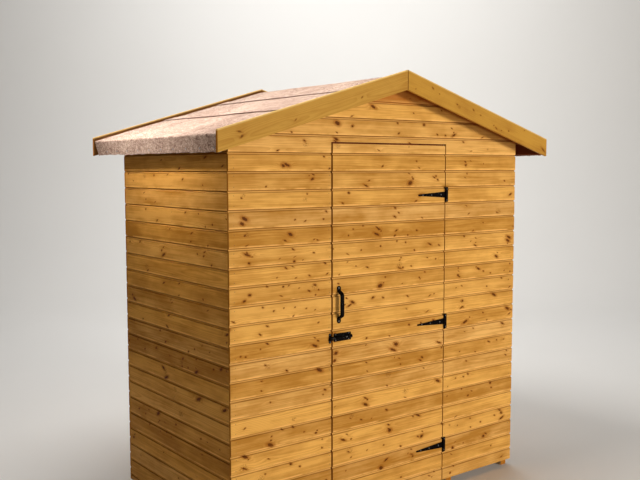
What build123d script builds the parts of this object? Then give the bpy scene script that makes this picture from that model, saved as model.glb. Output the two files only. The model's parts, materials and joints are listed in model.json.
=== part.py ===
from build123d import *
import os
from math import cos, radians, sin, tan

# Small apex-roofed garden shed, clad in horizontal boards, with a ledged and braced door.
# Millimetres. X runs along the front from left to right, Y from front to back and Z up.
# The origin is on the ground, under the middle of the shed.
# The door is shut and its bolt is drawn back, so that the door can swing.

# Walls and floor
shed_width = 1830
shed_depth = 1018
board_thickness = 12
ground_gap = 32
batten = 25
mid_rail_height = 900
bearer_width = 40
bearer_height = 44
bearer_count = 5
floor_thickness = 12
floor_clearance = 5
back_stud_count = 2

# Roof
roof_pitch = 16.3
side_overhang = 118
end_overhang = 116
eaves_gap = 2
barge_width = 89
barge_thickness = 15
barge_upstand = 19
deck_thickness = 12
felt_thickness = 3
felt_lap = 75
felt_step = 6
felt_setback = 5
felt_drip = 2
eave_course_share = 0.372
middle_course_share = 0.326
eave_board_depth = 57
eave_board_thickness = 16
purlin_depth = 44
ridge_beam_depth = 70
saw_gap = 1

# Door
door_left = -358
door_width = 728
door_height = 1744
latch_gap = 9
head_gap = 8
hinge_gap = 5.5
ledge_width = 70
ledge_thickness = 16
ledge_inset = 22
brace_width = 76
stop_width = 15
stop_gap = 6

# Tee hinges
low_hinge_margin = 190
top_hinge_margin = 247
strap_length = 190
strap_root = 32
strap_tip = 8
hinge_sheet = 2.5
knuckle_radius = 4.5
pin_radius = 2
pin_clearance = 0.08
pin_head_radius = 3.2
pin_head_height = 1.5
plate_height = 75
plate_width = 19
plate_corner = 2
knuckle_play = 0.4
notch_clearance = 1

# Pull handle
handle_height = 999
handle_inset = 35
handle_length = 176
handle_width = 20
handle_bar = 10
handle_reach = 32
handle_slope = 13
handle_bend = 14
handle_edge = 3.5
foot_width = 22
foot_length = 30
foot_thickness = 3

# Barrel bolt and its keep
bolt_height = 845
bolt_inset = 3
bolt_plate_length = 105
bolt_plate_height = 38
bolt_plate_corner = 4
bolt_sheet = 2
rod_radius = 5
rod_tip_gap = 2.5
rod_tip_chamfer = 1.5
rod_standoff = 1.5
rod_clearance = 0.6
guide_wall = 2.5
front_guide = 22
rear_guide = 32
guide_inset = 2
knob_radius = 4
knob_reach = 16
knob_cap_radius = 6
knob_cap_height = 5
knob_clearance = 9
keep_width = 14
keep_height = 48
keep_gap = 1.5
keep_bridge = 11
keep_clearance = 1.2
keep_corner = 2

# Walls: faces and corners
half_width = shed_width / 2
half_depth = shed_depth / 2
inner_width = half_width - board_thickness
inner_depth = half_depth - board_thickness
frame_width = inner_width - batten
frame_depth = inner_depth - batten
floor_top = bearer_height + floor_thickness
rail_top = floor_top + batten

# Door: faces of the leaf and of its doorway
door_right = door_left + door_width
door_bottom = ground_gap
door_top = door_bottom + door_height
doorway_left = door_left - latch_gap
doorway_right = door_right + hinge_gap
doorway_top = door_top + head_gap
tie_top = doorway_top + batten

# Roof: depths below the barge boards' top edge, square to the slope
pitch = radians(roof_pitch)
felt_top = barge_upstand
deck_top = felt_top + felt_thickness
deck_under = deck_top + deck_thickness
rail_under = deck_under + batten
stud_inside = frame_width - batten
apex_height = tie_top + eaves_gap + stud_inside * tan(pitch) + rail_under / cos(pitch)
roof_half_width = half_width + side_overhang
roof_half_depth = half_depth + end_overhang
deck_half_depth = roof_half_depth - barge_thickness
felt_edge = (roof_half_width - felt_setback + felt_top * sin(pitch)) / cos(pitch)
deck_edge = felt_edge - felt_thickness
eave_board_inside = deck_edge - eave_board_thickness
eave_board_under = deck_under + eave_board_depth


def roof_line(x, depth):
    """Height of the point at x that lies this depth below the barge boards' top edge."""
    return apex_height - abs(x) * tan(pitch) - depth / cos(pitch)


def slope_point(side, along, depth):
    """Point on one slope, by its distance from the apex down the slope and its depth."""
    x = along * cos(pitch) - depth * sin(pitch)
    return (side * x, apex_height - along * sin(pitch) - depth * cos(pitch))


def under_roof(x_left, x_right, bottom, depth):
    """Outline of an upright piece whose top follows the slope, on one side of the ridge."""
    return [
        (x_left, bottom),
        (x_right, bottom),
        (x_right, roof_line(x_right, depth)),
        (x_left, roof_line(x_left, depth)),
    ]


def rectangle(x_left, x_right, bottom, top):
    """Outline of a square-cut piece, in X and Z."""
    return [(x_left, bottom), (x_right, bottom), (x_right, top), (x_left, top)]


def across(pieces):
    """Pieces that each have one outline in X and Z and lie between two values of Y."""
    with BuildPart() as node:
        for outline, y_front, y_back in pieces:
            with BuildSketch(Plane.XZ.offset(-y_back)):
                with BuildLine():
                    Polyline(*outline, close=True)
                make_face()
            extrude(amount=y_back - y_front)
    return node


def both_sides(outline):
    """An outline and its mirror image on the other side of the ridge."""
    return [outline, [(-x, z) for x, z in outline]]


def both_ends(outlines, y_inside, y_outside):
    """Pieces for outlines that are the same at the front and at the back."""
    front = [(outline, -y_outside, -y_inside) for outline in outlines]
    back = [(outline, y_inside, y_outside) for outline in outlines]
    return front + back


def save(name, node):
    """Writes one piece of the shed under its name."""
    node.part.label = name
    export_step(node.part, f"parts/{name}.step")


os.makedirs("parts", exist_ok=True)

# Floor: bearers from front to back carry one layer of boards
floor_half_width = inner_width - floor_clearance
floor_half_depth = inner_depth - floor_clearance
bearer_spacing = (2 * floor_half_width - bearer_width) / (bearer_count - 1)
with BuildPart() as floor_bearers:
    with BuildSketch():
        with GridLocations(bearer_spacing, 0, bearer_count, 1):
            Rectangle(bearer_width, 2 * floor_half_depth)
    extrude(amount=bearer_height)
save("floor_bearers", floor_bearers)

with BuildPart() as floor_deck:
    with BuildSketch(Plane.XY.offset(bearer_height)):
        Rectangle(2 * floor_half_width, 2 * floor_half_depth)
    extrude(amount=floor_thickness)
save("floor_deck", floor_deck)

# Boarded walls: the front and back cover the ends of the side boards
side_board = under_roof(inner_width, half_width, ground_gap, deck_under)
right_side, left_side = both_sides(side_board)
save("left_wall", across([(left_side, -inner_depth, inner_depth)]))
save("right_wall", across([(right_side, -inner_depth, inner_depth)]))

ridge_under = (0, roof_line(0, deck_under))
back_outline = [
    (-half_width, ground_gap),
    (half_width, ground_gap),
    (half_width, roof_line(half_width, deck_under)),
    ridge_under,
    (-half_width, roof_line(half_width, deck_under)),
]
save("back_wall", across([(back_outline, inner_depth, half_depth)]))

front_left = under_roof(-half_width, doorway_left, ground_gap, deck_under)
front_right = under_roof(doorway_right, half_width, ground_gap, deck_under)
save("front_wall_left", across([(front_left, -half_depth, -inner_depth)]))
save("front_wall_right", across([(front_right, -half_depth, -inner_depth)]))

gable_outline = [
    (doorway_left, doorway_top),
    (doorway_right, doorway_top),
    (doorway_right, roof_line(doorway_right, deck_under)),
    ridge_under,
    (doorway_left, roof_line(doorway_left, deck_under)),
]
save("front_gable", across([(gable_outline, -half_depth, -inner_depth)]))

# Side frames: studs between a bottom rail and a top rail that is bevelled to the slope
side_rail_under = roof_line(inner_width, deck_under) - batten
middle_stud = batten / 2
side_stud = rectangle(frame_width, inner_width, rail_top, side_rail_under)
side_studs = both_ends(both_sides(side_stud), frame_depth, inner_depth)
side_studs += [(outline, -middle_stud, middle_stud) for outline in both_sides(side_stud)]
save("side_wall_studs", across(side_studs))

low_rail = rectangle(frame_width, inner_width, floor_top, rail_top)
top_rail = under_roof(frame_width, inner_width, side_rail_under, deck_under)
mid_rail_top = mid_rail_height + batten
mid_rail = rectangle(frame_width, inner_width, mid_rail_height, mid_rail_top)
side_rails = both_ends(both_sides(mid_rail), middle_stud, frame_depth)
for outline in both_sides(low_rail) + both_sides(top_rail):
    side_rails.append((outline, -inner_depth, inner_depth))
save("side_wall_rails", across(side_rails))


def end_frame(y_front, y_back, uprights, bays):
    """Studs and rails of an end wall: corner studs, the uprights between them and a tie on top."""
    corner = under_roof(stud_inside, frame_width, floor_top, rail_under)
    studs = both_sides(corner)
    studs += [rectangle(left, right, floor_top, doorway_top) for left, right in uprights]
    rails = [rectangle(-stud_inside, stud_inside, doorway_top, tie_top)]
    for left, right in bays:
        rails.append(rectangle(left, right, floor_top, rail_top))
        rails.append(rectangle(left, right, mid_rail_height, mid_rail_top))
    return (
        across([(outline, y_front, y_back) for outline in studs]),
        across([(outline, y_front, y_back) for outline in rails]),
    )


# End frames: the front one leaves the doorway open between two jambs
left_jamb = (doorway_left - batten, doorway_left)
right_jamb = (doorway_right, doorway_right + batten)
front_bays = [(-stud_inside, left_jamb[0]), (right_jamb[1], stud_inside)]
front_studs, front_rails = end_frame(-inner_depth, -frame_depth, [left_jamb, right_jamb], front_bays)
save("front_wall_studs", front_studs)
save("front_wall_rails", front_rails)

back_spacing = 2 * stud_inside / (back_stud_count + 1)
back_middles = [-stud_inside + back_spacing * (i + 1) for i in range(back_stud_count)]
back_uprights = [(middle - batten / 2, middle + batten / 2) for middle in back_middles]
bay_starts = [-stud_inside] + [right for left, right in back_uprights]
bay_ends = [left for left, right in back_uprights] + [stud_inside]
back_bays = list(zip(bay_starts, bay_ends))
back_studs, back_rails = end_frame(frame_depth, inner_depth, back_uprights, back_bays)
save("back_wall_studs", back_studs)
save("back_wall_rails", back_rails)

# Gable frames: sloping rails meet a king post that stands on the tie
post_half = batten / 2
gable_rail = [
    (post_half, roof_line(post_half, deck_under)),
    (post_half, roof_line(post_half, rail_under)),
    (frame_width, roof_line(frame_width, rail_under)),
    (frame_width, roof_line(frame_width, deck_under)),
]
save("gable_rails", across(both_ends(both_sides(gable_rail), frame_depth, inner_depth)))

king_post = [
    (-post_half, tie_top),
    (post_half, tie_top),
    (post_half, roof_line(post_half, deck_under)),
    ridge_under,
    (-post_half, roof_line(post_half, deck_under)),
]
save("king_posts", across(both_ends([king_post], frame_depth, inner_depth)))

# Roof carriers between the gable frames
beam_under = roof_line(0, deck_under) - ridge_beam_depth
ridge_beam = [
    (-post_half, beam_under),
    (post_half, beam_under),
    (post_half, roof_line(post_half, deck_under)),
    ridge_under,
    (-post_half, roof_line(post_half, deck_under)),
]
save("ridge_beam", across([(ridge_beam, -frame_depth, frame_depth)]))

purlin_middle = frame_width / cos(pitch) / 2
purlin_low = purlin_middle + post_half
purlin_high = purlin_middle - post_half
purlin_under = deck_under + purlin_depth
purlin = [
    slope_point(1, purlin_high, deck_under),
    slope_point(1, purlin_high, purlin_under),
    slope_point(1, purlin_low, purlin_under),
    slope_point(1, purlin_low, deck_under),
]
save("purlins", across([(outline, -frame_depth, frame_depth) for outline in both_sides(purlin)]))

# Roof boarding: one layer on each slope, cut plumb at the ridge and square at the eaves
deck = [
    (0, roof_line(0, deck_top)),
    (0, roof_line(0, deck_under)),
    slope_point(1, deck_edge, deck_under),
    slope_point(1, deck_edge, deck_top),
]
right_deck, left_deck = both_sides(deck)
save("left_roof_deck", across([(left_deck, -deck_half_depth, deck_half_depth)]))
save("right_roof_deck", across([(right_deck, -deck_half_depth, deck_half_depth)]))

# Edge of the roof: a board under each eave and battens behind the barge boards
eave_board = [
    slope_point(1, eave_board_inside, deck_under),
    slope_point(1, eave_board_inside, eave_board_under),
    slope_point(1, deck_edge, eave_board_under),
    slope_point(1, deck_edge, deck_under),
]
eave_boards = [(outline, -deck_half_depth, deck_half_depth) for outline in both_sides(eave_board)]
save("eave_boards", across(eave_boards))

rake_batten = [
    (saw_gap, roof_line(saw_gap, deck_under)),
    (saw_gap, roof_line(saw_gap, rail_under)),
    slope_point(1, eave_board_inside, rail_under),
    slope_point(1, eave_board_inside, deck_under),
]
rake_inside = deck_half_depth - batten
save("rake_battens", across(both_ends(both_sides(rake_batten), rake_inside, deck_half_depth)))

# Barge boards: cut plumb where they meet at the apex and at their lower ends
barge_board = [
    (0, roof_line(0, 0)),
    (0, roof_line(0, barge_width)),
    (roof_half_width, roof_line(roof_half_width, barge_width)),
    (roof_half_width, roof_line(roof_half_width, 0)),
]
right_barge, left_barge = both_sides(barge_board)
for side_name, outline in (("left", left_barge), ("right", right_barge)):
    front_barge = across([(outline, -roof_half_depth, -deck_half_depth)])
    rear_barge = across([(outline, deck_half_depth, roof_half_depth)])
    save(f"front_{side_name}_barge_board", front_barge)
    save(f"rear_{side_name}_barge_board", rear_barge)

# Roofing felt: three courses a slope, each lapped over the one below, the top one over the ridge
middle_course = felt_edge * (1 - eave_course_share)
ridge_course = middle_course - felt_edge * middle_course_share
lapped_top = felt_top - felt_thickness
middle_head = ridge_course - felt_lap
eave_head = middle_course - felt_lap


def lapped_tail(head, tail):
    """Points of a course from its upper to its lower end, where it steps up onto the course below."""
    over_edge = head - felt_thickness
    upper_face = [(over_edge - felt_step, felt_top), (over_edge, lapped_top), (tail, lapped_top)]
    lower_face = [(tail, felt_top), (head, felt_top), (head, deck_top)]
    return [slope_point(1, along, depth) for along, depth in upper_face + lower_face]


middle_felt = [slope_point(1, middle_head, deck_top), slope_point(1, middle_head, felt_top)]
middle_felt += lapped_tail(eave_head, middle_course)
right_middle, left_middle = both_sides(middle_felt)
save("left_felt_middle", across([(left_middle, -deck_half_depth, deck_half_depth)]))
save("right_felt_middle", across([(right_middle, -deck_half_depth, deck_half_depth)]))

right_tail = lapped_tail(middle_head, ridge_course)
left_tail = [(-x, z) for x, z in reversed(right_tail)]
ridge_felt = [(0, roof_line(0, felt_top))] + right_tail + [(0, roof_line(0, deck_top))] + left_tail
save("ridge_felt", across([(ridge_felt, -deck_half_depth, deck_half_depth)]))

felt_under = eave_board_under + felt_drip
for side_name, side in (("left", -1), ("right", 1)):
    with BuildPart() as eave_felt:
        with BuildSketch(Plane.XZ.offset(-deck_half_depth)):
            with BuildLine():
                Polyline(
                    slope_point(side, eave_head, deck_top),
                    slope_point(side, eave_head, felt_top),
                    slope_point(side, felt_edge, felt_top),
                    slope_point(side, felt_edge, felt_under),
                    slope_point(side, deck_edge, felt_under),
                    slope_point(side, deck_edge, deck_top),
                    close=True,
                )
            make_face()
            fold = Vector(*slope_point(side, felt_edge, felt_top))
            fillet(vertices().sort_by_distance(fold)[0], radius=felt_thickness)
        extrude(amount=2 * deck_half_depth)
    save(f"{side_name}_felt_eave", eave_felt)

# Door: boards on three ledges, with two braces that rise from the hinge side
door_outline = rectangle(door_left, door_right, door_bottom, door_top)
save("door_boards", across([(door_outline, -half_depth, -inner_depth)]))

low_hinge = door_bottom + low_hinge_margin
top_hinge = door_top - top_hinge_margin
hinge_heights = [low_hinge, (low_hinge + top_hinge) / 2, top_hinge]
ledge_left = door_left + ledge_inset
ledge_right = door_right - ledge_inset
ledge_back = -inner_depth + ledge_thickness
ledge_half = ledge_width / 2
ledges = [rectangle(ledge_left, ledge_right, z - ledge_half, z + ledge_half) for z in hinge_heights]
save("door_ledges", across([(outline, -inner_depth, ledge_back) for outline in ledges]))

braces = []
for lower, upper in zip(hinge_heights, hinge_heights[1:]):
    foot = lower + ledge_half
    head = upper - ledge_half
    outline = [
        (ledge_right - brace_width, foot),
        (ledge_right, foot),
        (ledge_left + brace_width, head),
        (ledge_left, head),
    ]
    braces.append((outline, -inner_depth, ledge_back))
save("door_braces", across(braces))

# Door stops on the jambs and under the tie, just behind the door's boards
stop_front = -inner_depth + stop_gap
stop_left = doorway_left + stop_width
stop_right = doorway_right - stop_width
stop_outlines = [
    rectangle(doorway_left, stop_left, floor_top, doorway_top),
    rectangle(stop_right, doorway_right, floor_top, doorway_top),
    rectangle(
        stop_left + saw_gap,
        stop_right - saw_gap,
        doorway_top - stop_width,
        doorway_top,
    ),
]
save("door_stops", across([(outline, stop_front, -frame_depth) for outline in stop_outlines]))

# Tee hinges: the pin stands in the gap beside the door, just ahead of the boards
pin_x = (door_right + doorway_right) / 2
pin_y = -half_depth - knuckle_radius
sheet_front = -half_depth - hinge_sheet
strap_half = strap_root / 2
knuckle_half = strap_half - knuckle_play
plate_half = plate_height / 2
bore_radius = pin_radius + pin_clearance
tip_radius = strap_tip / 2
tip_x = pin_x - strap_length + tip_radius

with BuildPart() as hinge_straps:
    for height in hinge_heights:
        with BuildSketch(Plane.XZ.offset(half_depth)):
            with BuildLine():
                Polyline(
                    (tip_x, height + tip_radius),
                    (pin_x, height + knuckle_half),
                    (pin_x, height - knuckle_half),
                    (tip_x, height - tip_radius),
                )
                ThreePointArc(
                    (tip_x, height - tip_radius),
                    (tip_x - tip_radius, height),
                    (tip_x, height + tip_radius),
                )
            make_face()
        extrude(amount=hinge_sheet)
        with BuildSketch(Plane.XY.offset(height - knuckle_half)):
            with Locations((pin_x, pin_y)):
                Circle(knuckle_radius)
        extrude(amount=2 * knuckle_half)
        with BuildSketch(Plane.XY.offset(height - knuckle_half)):
            with Locations((pin_x, pin_y)):
                Circle(bore_radius)
        extrude(amount=2 * knuckle_half, mode=Mode.SUBTRACT)
save("hinge_straps", hinge_straps)

notch_width = knuckle_radius + notch_clearance
knuckle_length = plate_half - strap_half
with BuildPart() as hinge_plates:
    for height in hinge_heights:
        with BuildSketch(Plane.XZ.offset(half_depth)):
            with Locations((pin_x + plate_width / 2, height)):
                Rectangle(plate_width, plate_height)
            outer_corners = vertices().group_by(Axis.X)[-1]
            fillet(outer_corners, radius=plate_corner)
            with Locations((pin_x + notch_width / 2, height)):
                Rectangle(notch_width, 2 * strap_half, mode=Mode.SUBTRACT)
        extrude(amount=hinge_sheet)
        for start in (height - plate_half, height + strap_half):
            with BuildSketch(Plane.XY.offset(start)):
                with Locations((pin_x, pin_y)):
                    Circle(knuckle_radius)
            extrude(amount=knuckle_length)
            with BuildSketch(Plane.XY.offset(start)):
                with Locations((pin_x, pin_y)):
                    Circle(bore_radius)
            extrude(amount=knuckle_length, mode=Mode.SUBTRACT)
save("hinge_plates", hinge_plates)

with BuildPart() as hinge_pins:
    for height in hinge_heights:
        with BuildSketch(Plane.XY.offset(height - plate_half)):
            with Locations((pin_x, pin_y)):
                Circle(pin_radius)
        extrude(amount=plate_height)
        for start in (height - plate_half - pin_head_height, height + plate_half):
            with BuildSketch(Plane.XY.offset(start)):
                with Locations((pin_x, pin_y)):
                    Circle(pin_head_radius)
            extrude(amount=pin_head_height)
save("hinge_pins", hinge_pins)

# Pull handle: a rounded bar bent out from two screwed feet
handle_x = door_left + handle_inset
handle_z = door_bottom + handle_height
handle_half = handle_length / 2
foot_front = -half_depth - foot_thickness
bar_front = -half_depth - handle_reach + handle_bar / 2
bar_foot = handle_half - foot_length + handle_bar / 2
with BuildPart() as door_handle:
    with BuildLine():
        bow = FilletPolyline(
            (handle_x, foot_front, handle_z - bar_foot),
            (handle_x, bar_front, handle_z - bar_foot + handle_slope),
            (handle_x, bar_front, handle_z + bar_foot - handle_slope),
            (handle_x, foot_front, handle_z + bar_foot),
            radius=handle_bend,
        )
    with BuildSketch(Plane(origin=bow @ 0, x_dir=(1, 0, 0), z_dir=bow % 0)):
        RectangleRounded(handle_width, handle_bar, handle_edge)
    sweep()
    for side in (-1, 1):
        foot_middle = handle_z + side * (handle_half - foot_length / 2)
        with BuildSketch(Plane.XZ.offset(half_depth)):
            with Locations((handle_x, foot_middle)):
                SlotOverall(foot_length, foot_width, rotation=90)
        extrude(amount=foot_thickness)
    split(bisect_by=Plane.XZ.offset(half_depth), keep=Keep.TOP)
save("door_handle", door_handle)

# Barrel bolt: a plate with two guides, in which a rod with a knob slides
bolt_z = door_bottom + bolt_height
plate_left = door_left + bolt_inset
plate_right = plate_left + bolt_plate_length
rod_y = -half_depth - bolt_sheet - rod_standoff - rod_radius
guide_bore = rod_radius + rod_clearance
guide_radius = guide_bore + guide_wall


def guide_arch(x_start, length):
    """A loop over the rod, from the plate's face round the rod and back to the plate."""
    with BuildPart() as arch:
        with BuildSketch(Plane.YZ.offset(x_start)):
            with Locations((rod_y, bolt_z)):
                Circle(guide_radius)
            with Locations(((rod_y - half_depth - bolt_sheet) / 2, bolt_z)):
                Rectangle(-half_depth - bolt_sheet - rod_y, 2 * guide_radius)
            with Locations((rod_y, bolt_z)):
                Circle(guide_bore, mode=Mode.SUBTRACT)
            with Locations(((rod_y - half_depth - bolt_sheet) / 2, bolt_z)):
                Rectangle(-half_depth - bolt_sheet - rod_y, 2 * guide_bore, mode=Mode.SUBTRACT)
        extrude(amount=length)
    return arch.part


guide_start = plate_left + guide_inset
guide_end = plate_right - guide_inset - rear_guide
front_arch = guide_arch(guide_start, front_guide)
rear_arch = guide_arch(guide_end, rear_guide)
with BuildPart() as bolt_plate:
    with BuildSketch(Plane.XZ.offset(half_depth)):
        with Locations(((plate_left + plate_right) / 2, bolt_z)):
            RectangleRounded(bolt_plate_length, bolt_plate_height, bolt_plate_corner)
    extrude(amount=bolt_sheet)
    add(front_arch)
    add(rear_arch)
save("bolt_plate", bolt_plate)

keep_right = doorway_left - keep_gap
rod_start = keep_right + rod_tip_gap
rod_end = plate_right - guide_inset
knob_x = guide_end - knob_clearance - knob_radius
with BuildPart() as door_bolt:
    with BuildSketch(Plane.YZ.offset(rod_start)):
        with Locations((rod_y, bolt_z)):
            Circle(rod_radius)
    extrude(amount=rod_end - rod_start)
    chamfer(edges().group_by(Axis.X)[0], length=rod_tip_chamfer)
    with BuildSketch(Plane.XZ.offset(-rod_y)):
        with Locations((knob_x, bolt_z)):
            Circle(knob_radius)
    extrude(amount=knob_reach)
    with BuildSketch(Plane.XZ.offset(-rod_y + knob_reach)):
        with Locations((knob_x, bolt_z)):
            Circle(knob_cap_radius)
    extrude(amount=knob_cap_height)
save("door_bolt", door_bolt)

# Keep on the door post: a plate with a square bridge that the rod enters
keep_middle = keep_right - keep_width / 2
bridge_inside = rod_radius + keep_clearance
bridge_outside = bridge_inside + guide_wall
plate_face = -half_depth - bolt_sheet
bridge_hollow = plate_face - rod_y + bridge_inside
bridge_whole = bridge_hollow + guide_wall
with BuildPart() as bolt_keep:
    with BuildSketch(Plane.XZ.offset(half_depth)):
        with Locations((keep_middle, bolt_z)):
            SlotOverall(keep_height, keep_width, rotation=90)
    extrude(amount=bolt_sheet)
    with BuildSketch(Plane.YZ.offset(keep_middle - keep_bridge / 2)):
        with Locations((plate_face - bridge_whole / 2, bolt_z)):
            Rectangle(bridge_whole, 2 * bridge_outside)
        fillet(vertices().group_by(Axis.X)[0], radius=keep_corner)
        with Locations((plate_face - bridge_hollow / 2, bolt_z)):
            Rectangle(bridge_hollow, 2 * bridge_inside, mode=Mode.SUBTRACT)
    extrude(amount=keep_bridge)
save("bolt_keep", bolt_keep)
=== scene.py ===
"""Dresses the garden shed: boards, timber, roofing felt, nails and ironwork around the packed frame.

Laid out as an add-on and run as a script. Metres, in the frame of the shed: X along the front,
Y from front to back, Z up from the ground.
"""
import json
from functools import reduce
from math import cos, pi, radians, sin, tan

import bmesh
import bpy
import numpy as np
from bpy.props import FloatProperty, FloatVectorProperty, IntProperty, PointerProperty
from mathutils import Euler, Matrix, Vector

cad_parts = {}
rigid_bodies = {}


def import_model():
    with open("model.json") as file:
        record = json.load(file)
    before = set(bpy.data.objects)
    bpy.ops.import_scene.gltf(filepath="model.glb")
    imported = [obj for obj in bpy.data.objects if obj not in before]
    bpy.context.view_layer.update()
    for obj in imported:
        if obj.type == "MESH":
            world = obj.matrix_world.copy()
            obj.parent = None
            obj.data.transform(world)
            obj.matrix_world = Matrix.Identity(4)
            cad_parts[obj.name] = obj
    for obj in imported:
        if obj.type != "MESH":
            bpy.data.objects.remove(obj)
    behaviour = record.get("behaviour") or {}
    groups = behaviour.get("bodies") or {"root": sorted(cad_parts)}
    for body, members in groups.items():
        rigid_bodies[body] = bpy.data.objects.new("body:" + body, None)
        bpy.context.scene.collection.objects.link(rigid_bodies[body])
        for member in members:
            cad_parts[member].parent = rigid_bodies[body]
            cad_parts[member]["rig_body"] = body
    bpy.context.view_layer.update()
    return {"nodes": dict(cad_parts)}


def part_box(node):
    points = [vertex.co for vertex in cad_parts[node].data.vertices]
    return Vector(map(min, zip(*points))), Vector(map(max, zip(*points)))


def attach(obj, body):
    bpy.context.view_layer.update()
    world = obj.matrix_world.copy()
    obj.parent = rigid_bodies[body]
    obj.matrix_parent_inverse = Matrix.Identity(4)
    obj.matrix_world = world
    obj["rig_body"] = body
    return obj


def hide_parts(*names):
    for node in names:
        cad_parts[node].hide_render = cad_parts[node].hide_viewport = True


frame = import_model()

bl_info = {
    "name": "Garden Shed Dressing",
    "version": (1, 0, 0),
    "blender": (4, 5, 0),
    "location": "3D View > Sidebar > Shed",
    "description": "Boards, timber, roofing felt and ironwork of a small wooden garden shed",
    "category": "Add Mesh",
}


def length(name, description, default):
    """A size in metres for a property group."""
    metres = {"min": 0, "unit": "LENGTH", "precision": 4}
    return FloatProperty(name=name, description=description, default=default, **metres)


def amount(name, description, default):
    """A plain number from 0 up for a property group."""
    return FloatProperty(name=name, description=description, default=default, min=0)


def angle(name, description, degrees):
    """An angle for a property group."""
    return FloatProperty(name=name, description=description, default=radians(degrees), unit="ROTATION")


def whole(name, description, default, least=0):
    """A whole number for a property group."""
    return IntProperty(name=name, description=description, default=default, min=least)


def paint(name, description, default):
    """A colour for a property group."""
    colour = {"size": 3, "min": 0, "max": 1, "subtype": "COLOR"}
    return FloatVectorProperty(name=name, description=description, default=default, **colour)


class ShedBoardSizes(bpy.types.PropertyGroup):
    """Sizes of the boards on the walls, door, roof and floor."""

    front_cover: length("Front cover", "Height that one board of the front shows", 0.08171)
    front_first: length("Front first joint", "Height of the lowest joint on the front", 0.0985)
    side_cover: length("Side cover", "Height that one board of a side shows", 0.08359)
    side_first: length("Side first joint", "Height of the lowest joint on a side", 0.0627)
    thickness: length("Thickness", "Thickness of a wall board", 0.012)
    cove_height: length("Cove height", "Height of the hollow along a board's top", 0.010)
    cove_depth: length("Cove depth", "Depth of the hollow along a board's top", 0.0063)
    arris: length("Arris", "Rounding of a board's lower edge", 0.0010)
    tongue: length("Lap", "Height of the tongue behind the next board", 0.006)
    end_play: length("End play", "How far a board's end may stand back", 0.0002)
    face_play: length("Face play", "How far a board's face may stand back", 0.0004)
    deck_groove: length("Roof groove", "Bevel along the edges of roof and floor boards", 0.0020)
    deck_count: whole("Roof boards", "Boards along each slope", 12, 1)
    floor_count: whole("Floor boards", "Boards from front to back", 10, 1)
    seed: whole("Seed", "Draws the boards from the pile", 7)


class ShedWood(bpy.types.PropertyGroup):
    """Colours and marks of the wood."""

    light: paint("Light wood", "Palest honey gold of a wall board", (0.800, 0.425, 0.098))
    deep: paint("Deep wood", "Darkest orange of a wall board", (0.450, 0.200, 0.029))
    planed: paint("Planed wood", "Palest tone of the barge boards", (0.552, 0.290, 0.044))
    # The side wood is the wall wood made darker and more orange: painted shade on the sides
    side: paint("Side wood", "Palest tone of a side wall's board", (0.750, 0.362, 0.064))
    side_deep: paint("Side wood, deep", "Darkest tone of a side wall's board", (0.420, 0.170, 0.018))
    raw: paint("Raw wood", "Palest tone of the untreated timber inside", (0.690, 0.480, 0.250))
    raw_deep: paint("Raw wood, deep", "Darkest tone of the untreated timber inside", (0.520, 0.310, 0.130))
    knot: paint("Knot", "Heart of a knot", (0.085, 0.020, 0.002))
    # A dark stain, made darker still as painted shade in the gaps round the door and under the eaves
    stained: paint("Stained wood", "Timber under the eaves and round the doorway", (0.230, 0.058, 0.016))
    sawn_end: paint("Sawn end", "End grain of a treated board", (0.450, 0.170, 0.020))
    whorl: length("Knot spacing", "Distance between groups of knots on the knottiest boards", 0.170)
    ring: length("Ring width", "Width of one year's growth", 0.0034)


class ShedFelt(bpy.types.PropertyGroup):
    """Sizes and colours of the roofing felt."""

    dark: paint("Dark grit", "Darkest grains", (0.150, 0.078, 0.060))
    middle: paint("Middle grit", "Most of the grains", (0.510, 0.340, 0.262))
    pale: paint("Pale grit", "Palest grains", (0.880, 0.720, 0.590))
    nail: paint("Clout nail", "Zinc of the nails", (0.460, 0.460, 0.470))
    swell: length("Swell", "Height of the felt's soft waves", 0.0030)
    pucker: length("Pucker", "Height of the wrinkles at the eaves", 0.0042)
    nail_spacing: length("Nail spacing", "Distance between clout nails", 0.090)
    seed: whole("Seed", "Lays the felt", 4)


class ShedIron(bpy.types.PropertyGroup):
    """Finish of the ironwork and its screws."""

    black: paint("Black", "Satin black of the ironwork", (0.0024, 0.0014, 0.0014))
    bare: paint("Bare metal", "Metal where the black has worn", (0.420, 0.410, 0.400))
    screw: paint("Screw", "Black screws with bright rims", (0.130, 0.128, 0.130))
    easing: length("Easing", "Rounding of the ironwork's edges", 0.00045)


class ShedStage(bpy.types.PropertyGroup):
    """Camera, lights and floor."""

    place: FloatVectorProperty(
        name="Camera", description="Place of the camera", default=(-2.7702, -3.5616, 1.6675), size=3,
        subtype="TRANSLATION", unit="LENGTH",
    )
    yaw: angle("Yaw", "Camera's turn from the back towards the right", 37.4465)
    fall: angle("Fall", "Camera's tilt below level", 4.8881)
    roll: angle("Roll", "Camera's turn about its own line of sight", -0.0665)
    lens: amount("Lens", "Focal length in millimetres on a 36 mm wide sensor", 47.715)
    floor: paint("Floor", "Pale floor and backdrop", (0.84, 0.83, 0.81))
    key: amount("Key", "Power of the key light in watts", 404)
    bounce: amount("Bounce", "Power of the low light in front in watts", 22)
    fill: amount("Fill", "Power of the fill light in watts", 1.3)
    strip: amount("Strip", "Power of the strip light along the left eave in watts", 2.5)
    top: amount("Top", "Power of the light over the roof in watts", 84)
    wash: amount("Wash", "Power of the light on the backdrop in watts", 300)
    sky: amount("Sky", "Strength of the light all round", 0.07)


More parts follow.
